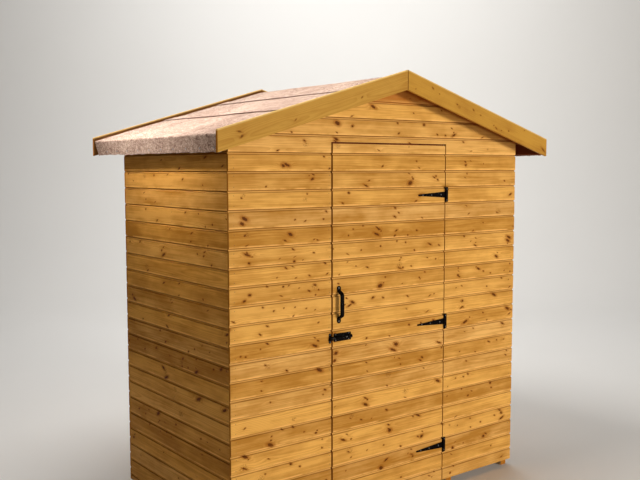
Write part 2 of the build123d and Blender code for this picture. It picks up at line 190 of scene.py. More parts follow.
# The roof's slope follows the barge boards' top edge. Depths are square to it, and distances run down it from
# the ridge
ROOF_PITCH = radians(16.3)
BARGE_LOW, BARGE_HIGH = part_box("front_left_barge_board")
APEX = float(BARGE_HIGH[2])
INNER_FACE = -float(BARGE_HIGH[1])
EAVE_INSET = 0.005
FELT_TOP = 0.019
FELT_THICKNESS = 0.003
DECK_THICKNESS = 0.012
EAVE_DROP = 0.059
DECK_TOP = FELT_TOP + FELT_THICKNESS
DECK_UNDER = DECK_TOP + DECK_THICKNESS
FELT_UNDER = DECK_UNDER + EAVE_DROP
FELT_EDGE = (-float(BARGE_LOW[0]) - EAVE_INSET + FELT_TOP * sin(ROOF_PITCH)) / cos(ROOF_PITCH)
DECK_EDGE = FELT_EDGE - FELT_THICKNESS
# Shares of the slope that the eave and middle courses of felt show, and the width hidden at each lap
EAVE_SHARE, MIDDLE_SHARE, LAP = 0.372, 0.326, 0.075
MIDDLE_COURSE = FELT_EDGE * (1 - EAVE_SHARE)
RIDGE_COURSE = MIDDLE_COURSE - FELT_EDGE * MIDDLE_SHARE


def roof_line(x, depth):
    """Height at x, this depth below the barge boards' top edge: apex - |x| tan pitch - depth / cos pitch."""
    return APEX - abs(x) * tan(ROOF_PITCH) - depth / cos(ROOF_PITCH)


# Wall boards end this high, 1 mm below the roof boards' underside at the ridge
BOARD_PEAK = roof_line(0, DECK_UNDER) - 0.001


def node_box(*names):
    """Lowest and highest corner over several nodes of the frame."""
    lows, highs = zip(*(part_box(name) for name in names))
    return np.min(np.array(lows), axis=0), np.max(np.array(highs), axis=0)


# Materials


class Wire:
    """A shader value. Arithmetic on it adds Math nodes to the material that it belongs to."""

    def __init__(self, finish, socket):
        self.finish = finish
        self.socket = socket

    def __add__(self, other):
        return self.finish.math("ADD", self, other)

    __radd__ = __add__

    def __sub__(self, other):
        return self.finish.math("SUBTRACT", self, other)

    def __rsub__(self, other):
        return self.finish.math("SUBTRACT", other, self)

    def __mul__(self, other):
        return self.finish.math("MULTIPLY", self, other)

    __rmul__ = __mul__

    def __truediv__(self, other):
        return self.finish.math("DIVIDE", self, other)

    def __rtruediv__(self, other):
        return self.finish.math("DIVIDE", other, self)

    def __abs__(self):
        return self.finish.math("ABSOLUTE", self)


class Finish:
    """One material being built."""

    def __init__(self, name):
        self.material = bpy.data.materials.new(name)
        self.material.use_nodes = True
        self.tree = self.material.node_tree
        self.tree.nodes.clear()

    def node(self, kind, settings=None, inputs=None, output=0):
        """Adds a node: its settings first, then its sockets' values or links. Returns one or more outputs."""
        node = self.tree.nodes.new("ShaderNode" + kind)
        for key, value in (settings or {}).items():
            if key == "stops":
                node.color_ramp.elements.remove(node.color_ramp.elements[1])
                for i, (place, colour) in enumerate(value):
                    stop = node.color_ramp.elements[0] if i == 0 else node.color_ramp.elements.new(place)
                    stop.position = place
                    stop.color = (*colour, 1)
            else:
                setattr(node, key, value)
        for key, value in (inputs or {}).items():
            if isinstance(value, Wire):
                self.tree.links.new(value.socket, node.inputs[key])
            else:
                node.inputs[key].default_value = value
        if isinstance(output, tuple):
            return tuple(Wire(self, node.outputs[i]) for i in output)
        return Wire(self, node.outputs[output])

    def math(self, operation, *values, clamp=False):
        """One Math node."""
        return self.node("Math", {"operation": operation, "use_clamp": clamp}, dict(enumerate(values)))

    def clamp(self, value):
        """The value held between 0 and 1."""
        return self.math("ADD", value, 0.0, clamp=True)

    def largest(self, *values):
        """The largest of several values."""
        return reduce(lambda one, other: self.math("MAXIMUM", one, other), values)

    def step(self, value, start, end):
        """Rises smoothly from 0 at start to 1 at end."""
        values = {0: value, 1: start, 2: end, 3: 0.0, 4: 1.0}
        return self.node("MapRange", {"interpolation_type": "SMOOTHSTEP"}, values)

    def fall(self, value, start, end):
        """Falls smoothly from 1 at start to 0 at end."""
        return 1 - self.step(value, start, end)

    def band(self, value, start, full, fading, end):
        """Rises from 0 at start to 1 at full, and falls again from fading to 0 at end."""
        return self.step(value, start, full) * self.fall(value, fading, end)

    def attribute(self, name, output=2):
        """One of the piece's own attributes: output 1 is a vector, output 2 a number."""
        return self.node("Attribute", {"attribute_name": name}, output=output)

    def place(self):
        """Object coordinates, which are the frame's own."""
        return self.node("TexCoord", output=3)

    def split(self, vector):
        """The three parts of a vector."""
        return self.node("SeparateXYZ", inputs={0: vector}, output=(0, 1, 2))

    def scaled(self, vector, factors):
        """A vector times one factor for each axis."""
        return self.node("VectorMath", {"operation": "MULTIPLY"}, {0: vector, 1: factors})

    def mix(self, factor, first, second):
        """Two colours mixed."""
        first, second = (c if isinstance(c, Wire) else (*c, 1) for c in (first, second))
        return self.node("Mix", {"data_type": "RGBA"}, {0: factor, 6: first, 7: second}, output=2)

    def noise(self, vector, scale, detail=3.0, roughness=0.55, colour=False):
        """Soft noise of mean one half, or three of them as a colour."""
        values = {"Vector": vector, "Scale": scale, "Detail": detail, "Roughness": roughness}
        return self.node("TexNoise", None, values, output=1 if colour else 0)

    def surface(self, colour, roughness, height=None, relief=0.0, strength=1.0, **constants):
        """The shader: what varies goes to colour, roughness, metal and a bump, and all else is constant."""
        links = {"Base Color": colour, "Roughness": roughness}
        links.update({key.replace("_", " "): value for key, value in constants.items()})
        if height is not None:
            bump = {"Strength": strength, "Distance": relief, "Height": height}
            links["Normal"] = self.node("Bump", None, bump)
        shader = self.node("BsdfPrincipled", None, links)
        self.node("OutputMaterial", None, {0: shader}, output=())
        return self.material


def tinted(colour, *factors):
    """A colour times three factors, or one that serves for all three, with no part above 1."""
    return tuple(min(1.0, part * factor) for part, factor in zip(colour, factors * 3))


def softwood(
    name, light, deep, wood, tightness=1.0, gloss=0.52, marks=1.0, scarce=0.0, joints=False, barge=False
):
    """Sawn softwood. Reads the boards' own attributes: grain, in metres along, out and across with the pith
    at zero; board, with the tone, the height across the board and a second random number; lip, the height
    above the edge of the cove; and end on sawn ends. The more scarce, the fewer knots."""
    made = Finish(name)
    grain, end = made.attribute("grain", 1), made.attribute("end")
    tone, across, chance = made.split(made.attribute("board", 1))
    along, out, up = made.split(grain)

    def draw(place, shift):
        """Four random numbers for a whole number. Each shift gives other ones."""
        noise = {"noise_dimensions": "1D"}
        colour, value = made.node("TexWhiteNoise", noise, {"W": place + shift}, output=(1, 0))
        return (*made.split(colour), value)

    def streaks(lengthwise, crosswise, detail, roughness=0.55):
        """Noise drawn out along the board, from its scales along and across."""
        return made.noise(made.scaled(grain, (lengthwise, crosswise, crosswise)), 1.0, detail, roughness)

    def lucky(luck):
        """Whether a knot of a group is there. Deeper boards have more of them."""
        return made.step(luck + 0.20 * tone - scarce, 0.56, 0.58)

    # Knots come in groups, one to a stretch of the board: a knot near each edge and one between, or fewer
    whorl = (1.0 + 0.9 * chance) * wood.whorl
    stretch = made.math("FLOOR", along / whorl)
    (a, b, c, d), (e, f, g, h), (i, j, k, m) = (draw(stretch, shift) for shift in (0.37, 5000.61, 9000.83))
    place = along - (stretch + 0.2 + 0.6 * a) * whorl
    # On some boards small knots lie between them, one to a short stretch
    short = 0.058
    step = made.math("FLOOR", along / short)
    n, o, p, q = draw(step, 300.19)
    pins = made.step(made.math("FRACT", chance * 7.0), 0.62, 0.64)
    pin_place = along - (step + 0.2 + 0.6 * n) * short
    pinned = made.step(q + 0.34 * pins - 0.4 * scarce, 0.91, 0.93)
    # Distance along, height on the board, radius, lean and presence
    span, lean, least, most = 0.024, 3.4, 0.0034, 0.0078
    knots = (
        (place - span * (e - 0.5), 0.008 + 0.020 * b, least + most * i * i * i, lean * (f - 0.5), lucky(d)),
        (place - span * (f - 0.5), 0.070 - 0.020 * c, least + most * j * j * j, lean * (e - 0.5), lucky(h)),
        (place - 0.060 * (d - 0.5), 0.028 + 0.026 * g, 0.0028 + 0.0080 * k * k * k, lean * (b - 0.5),
         lucky(m * 0.92)),
        (pin_place, 0.010 + 0.062 * o, 0.0024 + 0.0024 * p, 2.0 * (p - 0.5), pinned),
    )
    wobble_x, wobble_z, wobble_s = made.split(made.noise(grain, 120.0, 3.0, 0.6, colour=True))
    hearts, rims, flows = [], [], []
    for near, height, size, lean, there in knots:
        dx = near + 0.0100 * (wobble_x - 0.5)
        dz = across - height + 0.0085 * (wobble_z - 0.5)
        oval = dx + lean * dz
        away = made.math("SQRT", oval * oval * 0.62 + dz * dz * 1.10) / size
        there = there * marks
        hearts.append(made.fall(away, 0.70, 1.08) * there)
        rims.append(made.fall(away, 0.9, 2.3) * there)
        spread = dx * dx / 0.0011 + dz * dz / 0.00013
        flows.append(made.math("EXPONENT", spread * -1.0) * (size / 0.006) * there)
    knot, rim, bend = made.largest(*hearts), made.largest(*rims), sum(flows[1:], flows[0])
    # A few groups end in a wide, speckled burr
    off = across - 0.020 - 0.045 * c
    wide = made.math("SQRT", place * place * 0.55 + off * off) / (0.009 + 0.010 * a)
    speckle = made.step(made.noise(grain, 210.0, 3.0, 0.7), 0.44, 0.62)
    burr = made.fall(wide, 0.35, 1.25) * made.step(g, 0.84, 0.86) * speckle * marks

    # Year rings round the pith, bent aside by the knots, and fine streaks along the board
    radius = made.math("SQRT", out * out + up * up) + 0.020 * streaks(1.3, 9.0, 2.0) + 0.0045 * bend
    late = made.band(made.math("FRACT", radius / (wood.ring / tightness)), 0.30, 0.88, 0.90, 1.0)
    streak, broad, patch = streaks(2.6, 110.0, 5.0, 0.62), streaks(2.6, 30.0, 3.0), streaks(5.5, 11.0, 3.0)
    depth = tone * 1.05 + (streak - 0.5) * 1.30 + (broad - 0.5) * 1.40 + (patch - 0.5) * 1.70 + 0.06
    rosy = made.clamp(made.math("FRACT", chance * 3.0) * 1.4 - 0.5)
    palest = made.mix(rosy * 0.8, light, tinted(light, 0.98, 1.08, 1.70))
    colour = made.mix(made.clamp(depth), palest, deep)
    colour = made.mix(late * 0.28, colour, tinted(deep, 0.82, 0.66, 0.50))
    colour = made.mix(made.clamp(bend * 0.24), colour, tinted(deep, 0.90, 0.76, 0.50))
    if joints:
        # The lower edge is partly rubbed pale and partly given a painted highlight, and the cove gets a
        # painted highlight.
        # Painted shade darkens the edge's underside and the cove's top under the next board's lip; a broken
        # dark line runs along the cove's edge
        lip = made.attribute("lip")
        broken = streaks(7.0, 3.0, 4.0, 0.6)
        rubbed_and_lit_edge = made.band(across, 0.0012, 0.0030, 0.0055, 0.0110) * made.step(broken, 0.36, 0.58)
        hollow = made.band(lip, 0.0012, 0.0030, 0.0056, 0.0078)
        # Painted highlight on the cove, and on the lower edge partly wear, partly painted highlight
        colour = made.mix(made.largest(rubbed_and_lit_edge * 0.72, hollow * 0.38), colour, tinted(light, 1.16, 1.20, 1.55))
        edge = made.fall(abs(lip), 0.0005, 0.0020) * (0.35 + 0.65 * made.step(broken, 0.62, 0.40))
        high = made.step(lip + 0.0016 * broken, 0.0074, 0.0096)
        colour = made.mix(edge * 0.66, colour, tinted(deep, 0.56, 0.40, 0.24))
        # Painted shade under the lower edge and high in the cove, beneath the next board's lip
        lip_shade = made.largest(made.fall(across, 0.0003, 0.0014), high)
        colour = made.mix(lip_shade * 0.90, colour, tinted(deep, 0.34, 0.20, 0.10))
    colour = made.mix(made.clamp(rim) * 0.60, colour, tinted(deep, 0.66, 0.40, 0.14))
    colour = made.mix(burr * 0.75, colour, tinted(deep, 0.42, 0.28, 0.18))
    heartwood = made.mix(made.clamp(wobble_s * 1.8 - 0.66), wood.knot, tinted(deep, 0.44, 0.30, 0.12))
    colour = made.mix(made.clamp(knot) * 0.94, colour, heartwood)
    colour = made.mix(end, colour, made.mix(late * 0.6, wood.sawn_end, tinted(wood.sawn_end, 0.55)))
    x, y, z = made.split(made.place())
    aside = abs(x)
    below = (APEX - aside * tan(ROOF_PITCH) - z) * cos(ROOF_PITCH)
    if joints:
        # Painted shade under the roof's edges, reaching furthest down at the peak
        shade = made.largest(
            made.fall(below, 0.062, 0.112) * 0.34, made.fall(below + 0.25 * aside, 0.108, 0.166) * 0.76
        )
        colour = made.mix(shade, colour, tinted(deep, 0.80, 0.44, 0.09))
        # A darker line of painted shade just under the barge boards and eaves
        colour = made.mix(made.fall(below, 0.054, 0.070) * 0.80, colour, tinted(deep, 0.60, 0.24, 0.06))
    if barge:
        # Dark along the mitre at the ridge; painted shade on the inner face and a painted highlight along the
        # upper edge
        # Painted shade on the inner face
        inner = made.fall(abs(y), INNER_FACE + 0.0002, INNER_FACE + 0.0012)
        colour = made.mix(inner * (0.74 + 0.30 * broad), colour, tinted(deep, 0.30, 0.26, 0.60))
        # Painted highlight along the upper edge
        colour = made.mix(made.fall(below, 0.0040, 0.0075) * 0.70, colour, tinted(light, 1.45, 1.90, 4.50))
        colour = made.mix(made.fall(aside, 0.0010, 0.0026), colour, tinted(deep, 0.22, 0.10, 0.05))
    rough = made.clamp(gloss + 0.16 * streak + 0.10 * late - 0.06 * knot + 0.25 * end)
    relief = late * 0.35 + streak * 0.55 + knot * 0.5 - rim * 0.2
    return made.surface(colour, rough, relief, 0.0006, 0.55, Specular_IOR_Level=0.06)


def mineral_felt(felt):
    """Grit on bitumen: grains of three tones in cells 1.6 mm wide, clumped by slow noise."""
    made = Finish("mineral_felt")
    place = made.place()
    (gap, pick), (_, clump) = (
        made.node("TexVoronoi", {"feature": "F1"}, {"Vector": place, "Scale": scale}, output=(0, 1))
        for scale in (620.0, 210.0)
    )
    pick, clump = made.split(pick)[0], made.split(clump)[1]
    cloud = made.noise(place, 5.0, 4.0, 0.6)
    mottle = made.noise(place, 60.0, 4.0, 0.7)
    choice = made.clamp(pick * 0.46 + clump * 0.28 + (mottle - 0.5) * 0.70 + (cloud - 0.5) * 0.40 + 0.17)
    stops = [(0.0, felt.dark), (0.30, felt.dark), (0.56, felt.middle), (0.88, felt.pale), (1.0, felt.pale)]
    colour = made.node("ValToRGB", {"stops": stops}, {0: choice})
    worn = made.step(made.noise(place, 26.0, 4.0, 0.7), 0.40, 0.60)
    wet = made.clamp(made.attribute("seam") * (0.12 + 0.30 * worn))
    colour = made.mix(wet, colour, (0.110, 0.055, 0.040))
    # Bitumen has bled out in a thin, uneven line along each lap
    aside = abs(made.split(place)[0])
    for lap in (RIDGE_COURSE, MIDDLE_COURSE):
        off = abs(aside - (lap * cos(ROOF_PITCH) - FELT_TOP * sin(ROOF_PITCH)))
        line = made.fall(off, 0.0010, 0.0024 + 0.0050 * worn)
        colour = made.mix(line * 0.58, colour, (0.140, 0.062, 0.042))
    height = (1 - gap) * 0.6 + clump * 0.9 + mottle * 0.8
    return made.surface(colour, 0.93, height, 0.0013, 0.8, Specular_IOR_Level=0.10)


def black_iron(name, iron, wear):
    """Satin black with a little orange peel, and bare metal where a patchy mask has worn through."""
    made = Finish(name)
    place = made.place()
    peel = made.noise(place, 900.0, 2.0)
    patch = made.noise(place, 70.0, 5.0, 0.7)
    scuff = made.noise(made.scaled(place, (1.0, 1.0, 7.0)), 260.0, 4.0, 0.7)
    worn = made.step(patch * 0.6 + scuff * 0.4, 0.66 - wear, 0.74 - wear)
    dust = made.step(made.noise(place, 38.0, 4.0, 0.65), 0.52, 0.80)
    colour = made.mix(worn, made.mix(dust * 0.007, iron.black, (0.30, 0.18, 0.10)), iron.bare)
    rough = made.clamp(0.40 + 0.16 * patch + 0.16 * dust)
    height = peel + scuff * 0.4
    return made.surface(colour, rough, height, 0.00012, 0.5, Specular_IOR_Level=0.03, Metallic=worn * 0.9)


def zinc(name, colour, dull):
    """Plated steel with a cloudy, slightly dull surface."""
    made = Finish(name)
    cloud = made.noise(made.place(), 420.0, 4.0, 0.7)
    tint = made.mix(cloud, tinted(colour, 0.55), colour)
    return made.surface(tint, made.clamp(dull + 0.25 * cloud), cloud, 0.00008, 0.6, Metallic=0.9)


def pale_floor(stage):
    """Plain floor with the faintest mottling."""
    made = Finish("pale_floor")
    colour = made.mix(made.noise(made.place(), 0.7, 3.0), stage.floor, tinted(stage.floor, 0.965))
    return made.surface(colour, 0.85, Specular_IOR_Level=0.25)


def finish_named(name, maker, *arguments, **settings):
    """The material of that name, made on first use."""
    return bpy.data.materials.get(name) or maker(name, *arguments, **settings)


# Meshes

# Edges that turn by more degrees than this are shaded sharp
DEFAULT_CREASE = 32


def write_attributes(mesh, domain, arrays):
    """Writes arrays as attributes of a mesh: rows of three as vectors, others as numbers."""
    for key, values in arrays.items():
        kind, field = ("FLOAT_VECTOR", "vector") if values.ndim == 2 else ("FLOAT", "value")
        mesh.attributes.new(key, kind, domain).data.foreach_set(field, values.astype(np.float32).ravel())


def put_piece(
    name, points, faces, material, body, nodes=(), crease=DEFAULT_CREASE, point_data=None,
    face_data=None,
):
    """Puts arrays of points and faces into a mesh object at the origin, and ties it to the frame."""
    mesh = bpy.data.meshes.new(name)
    mesh.from_pydata(np.asarray(points, float).tolist(), [], faces)
    write_attributes(mesh, "POINT", point_data or {})
    write_attributes(mesh, "FACE", face_data or {})
    mesh.validate()
    tie_piece(bpy.data.objects.new(name, mesh), material, body, nodes, crease)


def tie_piece(piece, material, body, nodes, crease=DEFAULT_CREASE):
    """Gives an object its material, smooth shading up to the crease angle and its body, and hides its nodes.
    """
    mesh = piece.data
    mesh.materials.clear()
    mesh.materials.append(material)
    mesh.polygons.foreach_set("use_smooth", np.ones(len(mesh.polygons), bool))
    mesh.set_sharp_from_angle(angle=radians(crease))
    bpy.context.scene.collection.objects.link(piece)
    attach(piece, body)
    if nodes:
        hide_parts(*nodes)


def level_points(section, level):
    """Adds a point, by proportion, where an edge of a cross-section passes a height."""
    first, second = section, np.roll(section, -1, axis=0)
    rise = second[:, 1] - first[:, 1]
    flat = np.abs(rise) < 1e-9
    share_up = np.where(flat, 2.0, (level - first[:, 1]) / np.where(flat, 1.0, rise))
    passing = (share_up > 1e-4) & (share_up < 1 - 1e-4)
    extra = first[passing] + share_up[passing, None] * (second - first)[passing]
    order = np.argsort(np.concatenate([np.arange(len(first)), np.flatnonzero(passing) + 0.5]))
    return np.concatenate([first, extra])[order]


def cut_section(section, low, high):
    """The part of a cross-section between two heights."""
    section = level_points(level_points(section, low), high)
    return section[(section[:, 1] > low - 1e-6) & (section[:, 1] < high + 1e-6)]


def lapped_section(cover, sizes):
    """Cross-section of a lapped board as (out, up) points: lower edge with its arris, face, the quarter
    ellipse out = thickness - depth cos a, up = cover - height sin a of the cove, tongue, back and rebate."""
    play, rise = 0.0003, 0.0014
    thick, depth, height, arris = sizes.thickness, sizes.cove_depth, sizes.cove_height, sizes.arris
    inner = thick - depth
    turn = np.linspace(pi / 2, 0, 7)
    cove = np.stack([thick - depth * np.cos(turn), cover - height * np.sin(turn)], axis=1)
    lower = [(inner + play, 0), (thick - arris, 0), (thick - 0.3 * arris, 0.3 * arris), (thick, arris)]
    tongue, rebate = cover + sizes.tongue, sizes.tongue + rise
    return np.concatenate([lower, cove, [(inner, tongue), (0, tongue), (0, rebate), (inner + play, rebate)]])


def grooved_section(width, thick, bevel, play=0.0002):
    """Cross-section of a roof or floor board: a rectangle with its two outer edges bevelled."""
    lower = [(0, play), (thick - bevel, play), (thick, bevel)]
    return np.array(lower + [(out, width - up) for out, up in reversed(lower)])


def carried_board(section, origin, along, out, up, start, end, mark, lip=0.0):
    """A closed cross-section carried along a straight line: point = origin + t along + u out + v up, where
    each point of the section has its own first and last t. The mark holds the tone, the second random number
    and the shifts along, out and across that set the pith. The lip is the height where the face meets the
    cove."""
    count = len(section)
    t = np.concatenate([np.broadcast_to(start, count), np.broadcast_to(end, count)])
    u, v = np.tile(section, (2, 1)).T
    along, out, up = (np.asarray(d, float) for d in (along, out, up))
    points = np.asarray(origin, float) + t[:, None] * along + u[:, None] * out + v[:, None] * up
    i = np.arange(count)
    sides = np.stack([i, np.roll(i, -1), np.roll(i, -1) + count, i + count], axis=1)
    faces = sides.tolist() + [i[::-1].tolist(), (i + count).tolist()]
    if np.dot(np.cross(out, up), along) < 0:
        faces = [face[::-1] for face in faces]
    tone, chance, far, pith_out, pith_up = mark
    return {
        "points": points,
        "faces": faces,
        "grain": np.stack([t + far, u + pith_out, v + pith_up], axis=1),
        "board": np.stack([np.full(2 * count, tone), v, np.full(2 * count, chance)], axis=1),
        "lip": v - lip,
        "end": np.concatenate([np.zeros(count), np.ones(2)]),
    }


def draw_marks(count, seed, dark=()):
    """For each board: tone, second random number and shifts along, out and across. Those in dark are deeper.
    Boards lie 31 m apart in the grain's own space, so no two show the same knots."""
    draw = np.random.default_rng(seed)
    tone = 0.06 + 0.40 * draw.random(count)
    tone[[i for i in dark if i < count]] += 0.26
    far = 31.0 * np.arange(count) + 9.0 * draw.random(count)
    pith = np.stack([-(0.018 + 0.07 * draw.random(count)), -0.09 * draw.random(count)], axis=1)
    return np.column_stack([tone, draw.random(count), far, pith])


def board_piece(name, boards, material, body, nodes):
    """Joins boards into one piece."""
    counts = np.cumsum([0] + [len(board["points"]) for board in boards])
    faces = [[int(base) + i for i in face] for base, board in zip(counts, boards) for face in board["faces"]]
    data = {key: np.concatenate([board[key] for board in boards]) for key in boards[0] if key != "faces"}
    points, end = data.pop("points"), {"end": data.pop("end")}
    put_piece(name, points, faces, material, body, nodes, point_data=data, face_data=end)


def wall_rows(first, cover, top):
    """Lower edges of the rows of boards up to a height: first - cover, first, first + cover and so on."""
    return np.arange(first - cover, top - 0.002, cover)


def front_row(base, low, high, left, right, sizes, mark, face, toward, rng):
    """One board of a front or back wall, cut off below low and above high. Its ends stand at left and right,
    or on the roof's slopes if nearer."""
    cover = sizes.front_cover
    low, high = max(base, low), min(base + cover + sizes.tongue, high)
    section = cut_section(lapped_section(cover, sizes), low - base, high - base)
    section = level_points(section, roof_line(right, DECK_UNDER) - base)
    height = base + section[:, 1]
    reach = (roof_line(0, DECK_UNDER) - height) / tan(ROOF_PITCH)
    start = np.maximum(left + sizes.end_play * rng.random(), -reach)
    end = np.minimum(right - sizes.end_play * rng.random(), reach)
    back = face - toward * (sizes.thickness + sizes.face_play * rng.random())
    ways = (1, 0, 0), (0, toward, 0), (0, 0, 1)
    return carried_board(section, (0, back, base), *ways, start, end, mark, cover - sizes.cove_height)


# Rows of darker boards, which run on from the front into the door, and those of the back
FRONT_DARK, BACK_DARK = (2, 5, 8, 10, 13, 16, 20), (3, 9, 15, 16)


def lay_wall(context, name, body, nodes, top, face, toward, spans_of, dark, seed, draws):
    """Boards of a front or back wall, row by row. spans_of gives, from a row's lower edge, the lowest point,
    highest point, left end and right end of each of its boards."""
    sizes = context.scene.shed_boards
    rows = wall_rows(sizes.front_first, sizes.front_cover, top)
    marks = draw_marks(len(rows), sizes.seed + seed, dark)
    rng = np.random.default_rng(sizes.seed + draws)
    boards = [
        front_row(base, *span, sizes, mark, face, toward, rng)
        for base, mark in zip(rows, marks) for span in spans_of(base)
    ]
    board_piece(name, boards, wood_of(context, "wall"), body, nodes)


def wood_of(context, which):
    """One of the six woods: wall, side, barge, stained, frame or plain."""
    wood = context.scene.shed_wood
    planed = {"tightness": 1.3, "gloss": 0.50, "marks": 0.75, "scarce": 0.20, "barge": True}
    name, light, deep, settings = {
        "wall": ("treated_boards", wood.light, wood.deep, {"joints": True}),
        # The side boards take the darker side wood, which is painted shade
        "side": ("treated_side_boards", wood.side, wood.side_deep, {"scarce": 0.24, "joints": True}),
        "barge": ("planed_barge_wood", wood.planed, tinted(wood.deep, 0.85), planed),
        # Stained timber for the eaves, roof boards and door stops, partly painted shade
        "stained": ("stained_softwood", wood.stained, tinted(wood.stained, 0.5), {"marks": 0.5}),
        "frame": ("frame_softwood", wood.raw, wood.raw_deep, {"tightness": 1.2, "gloss": 0.55, "marks": 0.8}),
        "plain": ("plain_softwood", tinted(wood.raw, 0.94), wood.raw_deep, {"gloss": 0.58}),
    }[which]
    return finish_named(name, softwood, light, deep, wood, **settings)


class SHED_OT_front_boards(bpy.types.Operator):
    """Lapped boards of the front wall, cut round the doorway and up to the slopes"""

    bl_idname = "shed.front_boards"
    bl_label = "Front boards"

    def execute(self, context):
        nodes = ("front_wall_left", "front_wall_right", "front_gable")
        (left, face, floor), (right, _, top) = node_box(*nodes)
        (jamb_left, _, head), (jamb_right, _, _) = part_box("front_gable")
        cover = context.scene.shed_boards.front_cover

        def spans(base):
            """Beside the doorway, over it, or both in the row that its head cuts."""
            if base >= head:
                return [(floor, BOARD_PEAK, left, right)]
            beside = [(floor, BOARD_PEAK, left, jamb_left), (floor, BOARD_PEAK, jamb_right, right)]
            over = [(head, BOARD_PEAK, jamb_left, jamb_right)]
            return beside + over if base + cover > head else beside

        lay_wall(context, "front_boards", "shed", nodes, top, face, -1, spans, FRONT_DARK, 0, 1)
        return {"FINISHED"}


class SHED_OT_door_boards(bpy.types.Operator):
    """Lapped boards of the door, in line with those of the front"""

    bl_idname = "shed.door_boards"
    bl_label = "Door boards"

    def execute(self, context):
        (left, face, floor), (right, _, head) = node_box("door_boards")
        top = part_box("front_gable")[1][2]
        spans = lambda base: [(floor, head, left, right)] if base < head else []
        lay_wall(context, "door_cladding", "door", ("door_boards",), top, face, -1, spans, FRONT_DARK, 0, 2)
        return {"FINISHED"}


class SHED_OT_back_boards(bpy.types.Operator):
    """Lapped boards of the back wall, cut up to the slopes"""

    bl_idname = "shed.back_boards"
    bl_label = "Back boards"

    def execute(self, context):
        (left, _, floor), (right, face, top) = node_box("back_wall")
        spans = lambda base: [(floor, BOARD_PEAK, left, right)]
        lay_wall(context, "back_boards", "shed", ("back_wall",), top, face, 1, spans, BACK_DARK, 10, 3)
        return {"FINISHED"}


class SHED_OT_side_boards(bpy.types.Operator):
    """Lapped boards of the two sides, between the front and back boards"""

    bl_idname = "shed.side_boards"
    bl_label = "Side boards"

    def execute(self, context):
        sizes = context.scene.shed_boards
        cover = sizes.side_cover
        profile = lapped_section(cover, sizes)
        for name, side, seed in (("left_wall", -1, 20), ("right_wall", 1, 30)):
            low, high = node_box(name)
            rows = wall_rows(sizes.side_first, cover, high[2])
            marks = draw_marks(len(rows), sizes.seed + seed, (4, 9, 10, 16))
            rng = np.random.default_rng(sizes.seed + seed + 1)
            outer = low[0] if side < 0 else high[0]
            top = roof_line(outer, DECK_UNDER)
            ways = (0, 1, 0), (side, 0, 0), (0, 0, 1)
            boards = []
            for base, mark in zip(rows, marks):
                reach = min(base + cover + sizes.tongue, top) - base
                section = cut_section(profile, max(base, low[2]) - base, reach)
                start = outer - side * (sizes.thickness + sizes.face_play * rng.random()), 0, base
                lip = cover - sizes.cove_height
                boards.append(carried_board(section, start, *ways, low[1], high[1], mark, lip))
            board_piece(name + "_boards", boards, wood_of(context, "side"), "shed", (name,))
        return {"FINISHED"}


class SHED_OT_roof_boards(bpy.types.Operator):
    """Boards of the two slopes, laid from the ridge to the eaves with a groove between them underneath"""

    bl_idname = "shed.roof_boards"
    bl_label = "Roof boards"

    def execute(self, context):
        sizes = context.scene.shed_boards
        low, high = node_box("left_roof_deck")
        width = (high[1] - low[1]) / sizes.deck_count
        section = grooved_section(width, DECK_THICKNESS, sizes.deck_groove)
        plumb = (DECK_TOP + section[:, 0]) * tan(ROOF_PITCH)
        for name, side, seed in (("left_roof_deck", -1, 40), ("right_roof_deck", 1, 50)):
            marks = draw_marks(sizes.deck_count, sizes.seed + seed, (3, 7))
            along = np.array([side * cos(ROOF_PITCH), 0, -sin(ROOF_PITCH)])
            down = np.array([-side * sin(ROOF_PITCH), 0, -cos(ROOF_PITCH)])
            boards = []
            for i, mark in enumerate(marks):
                start = np.array([0, low[1] + i * width, APEX]) + DECK_TOP * down
                boards.append(carried_board(section, start, along, down, (0, 1, 0), plumb, DECK_EDGE, mark))
            # The roof boards take the stained wood, partly painted shade under the eaves
            board_piece(name + "_boards", boards, wood_of(context, "stained"), "shed", (name,))
        return {"FINISHED"}


class SHED_OT_floor_boards(bpy.types.Operator):
    """Boards of the floor, laid from side to side over the bearers"""

    bl_idname = "shed.floor_boards"
    bl_label = "Floor boards"

    def execute(self, context):
        sizes = context.scene.shed_boards
        low, high = node_box("floor_deck")
        width = (high[1] - low[1]) / sizes.floor_count
        section = grooved_section(width, high[2] - low[2], 0.5 * sizes.deck_groove)
        marks = draw_marks(sizes.floor_count, sizes.seed + 60, (2, 6))
        ways = (1, 0, 0), (0, 0, 1), (0, 1, 0)
        boards = [
            carried_board(section, (0, low[1] + i * width, low[2]), *ways, low[0], high[0], mark)
            for i, mark in enumerate(marks)
        ]
        board_piece("floor_boards", boards, wood_of(context, "plain"), "shed", ("floor_deck",))
        return {"FINISHED"}


# Pieces that keep the frame's own shape, with their edges eased


def welded_copy(node, name):
    """A copy of a node's mesh with its loose triangles merged and flat faces made whole."""
    piece = frame["nodes"][node].copy()
    piece.data = piece.data.copy()
    for key in list(piece.keys()):
        del piece[key]
    piece.name, piece.data.name, piece.parent = name, name, None
    shape = bmesh.new()
    shape.from_mesh(piece.data)
    bmesh.ops.remove_doubles(shape, verts=shape.verts, dist=2e-6)
    bmesh.ops.dissolve_limit(shape, angle_limit=radians(0.6), verts=shape.verts, edges=shape.edges)
    shape.to_mesh(piece.data)
    shape.free()
    return piece


def ease(piece, width, turn=35):
    """Bevels the edges that turn by more than some degrees."""
    bevel = piece.modifiers.new("eased", "BEVEL")
    bevel.width, bevel.segments, bevel.use_clamp_overlap = width, 2, True
    bevel.limit_method, bevel.angle_limit = "ANGLE", radians(turn)


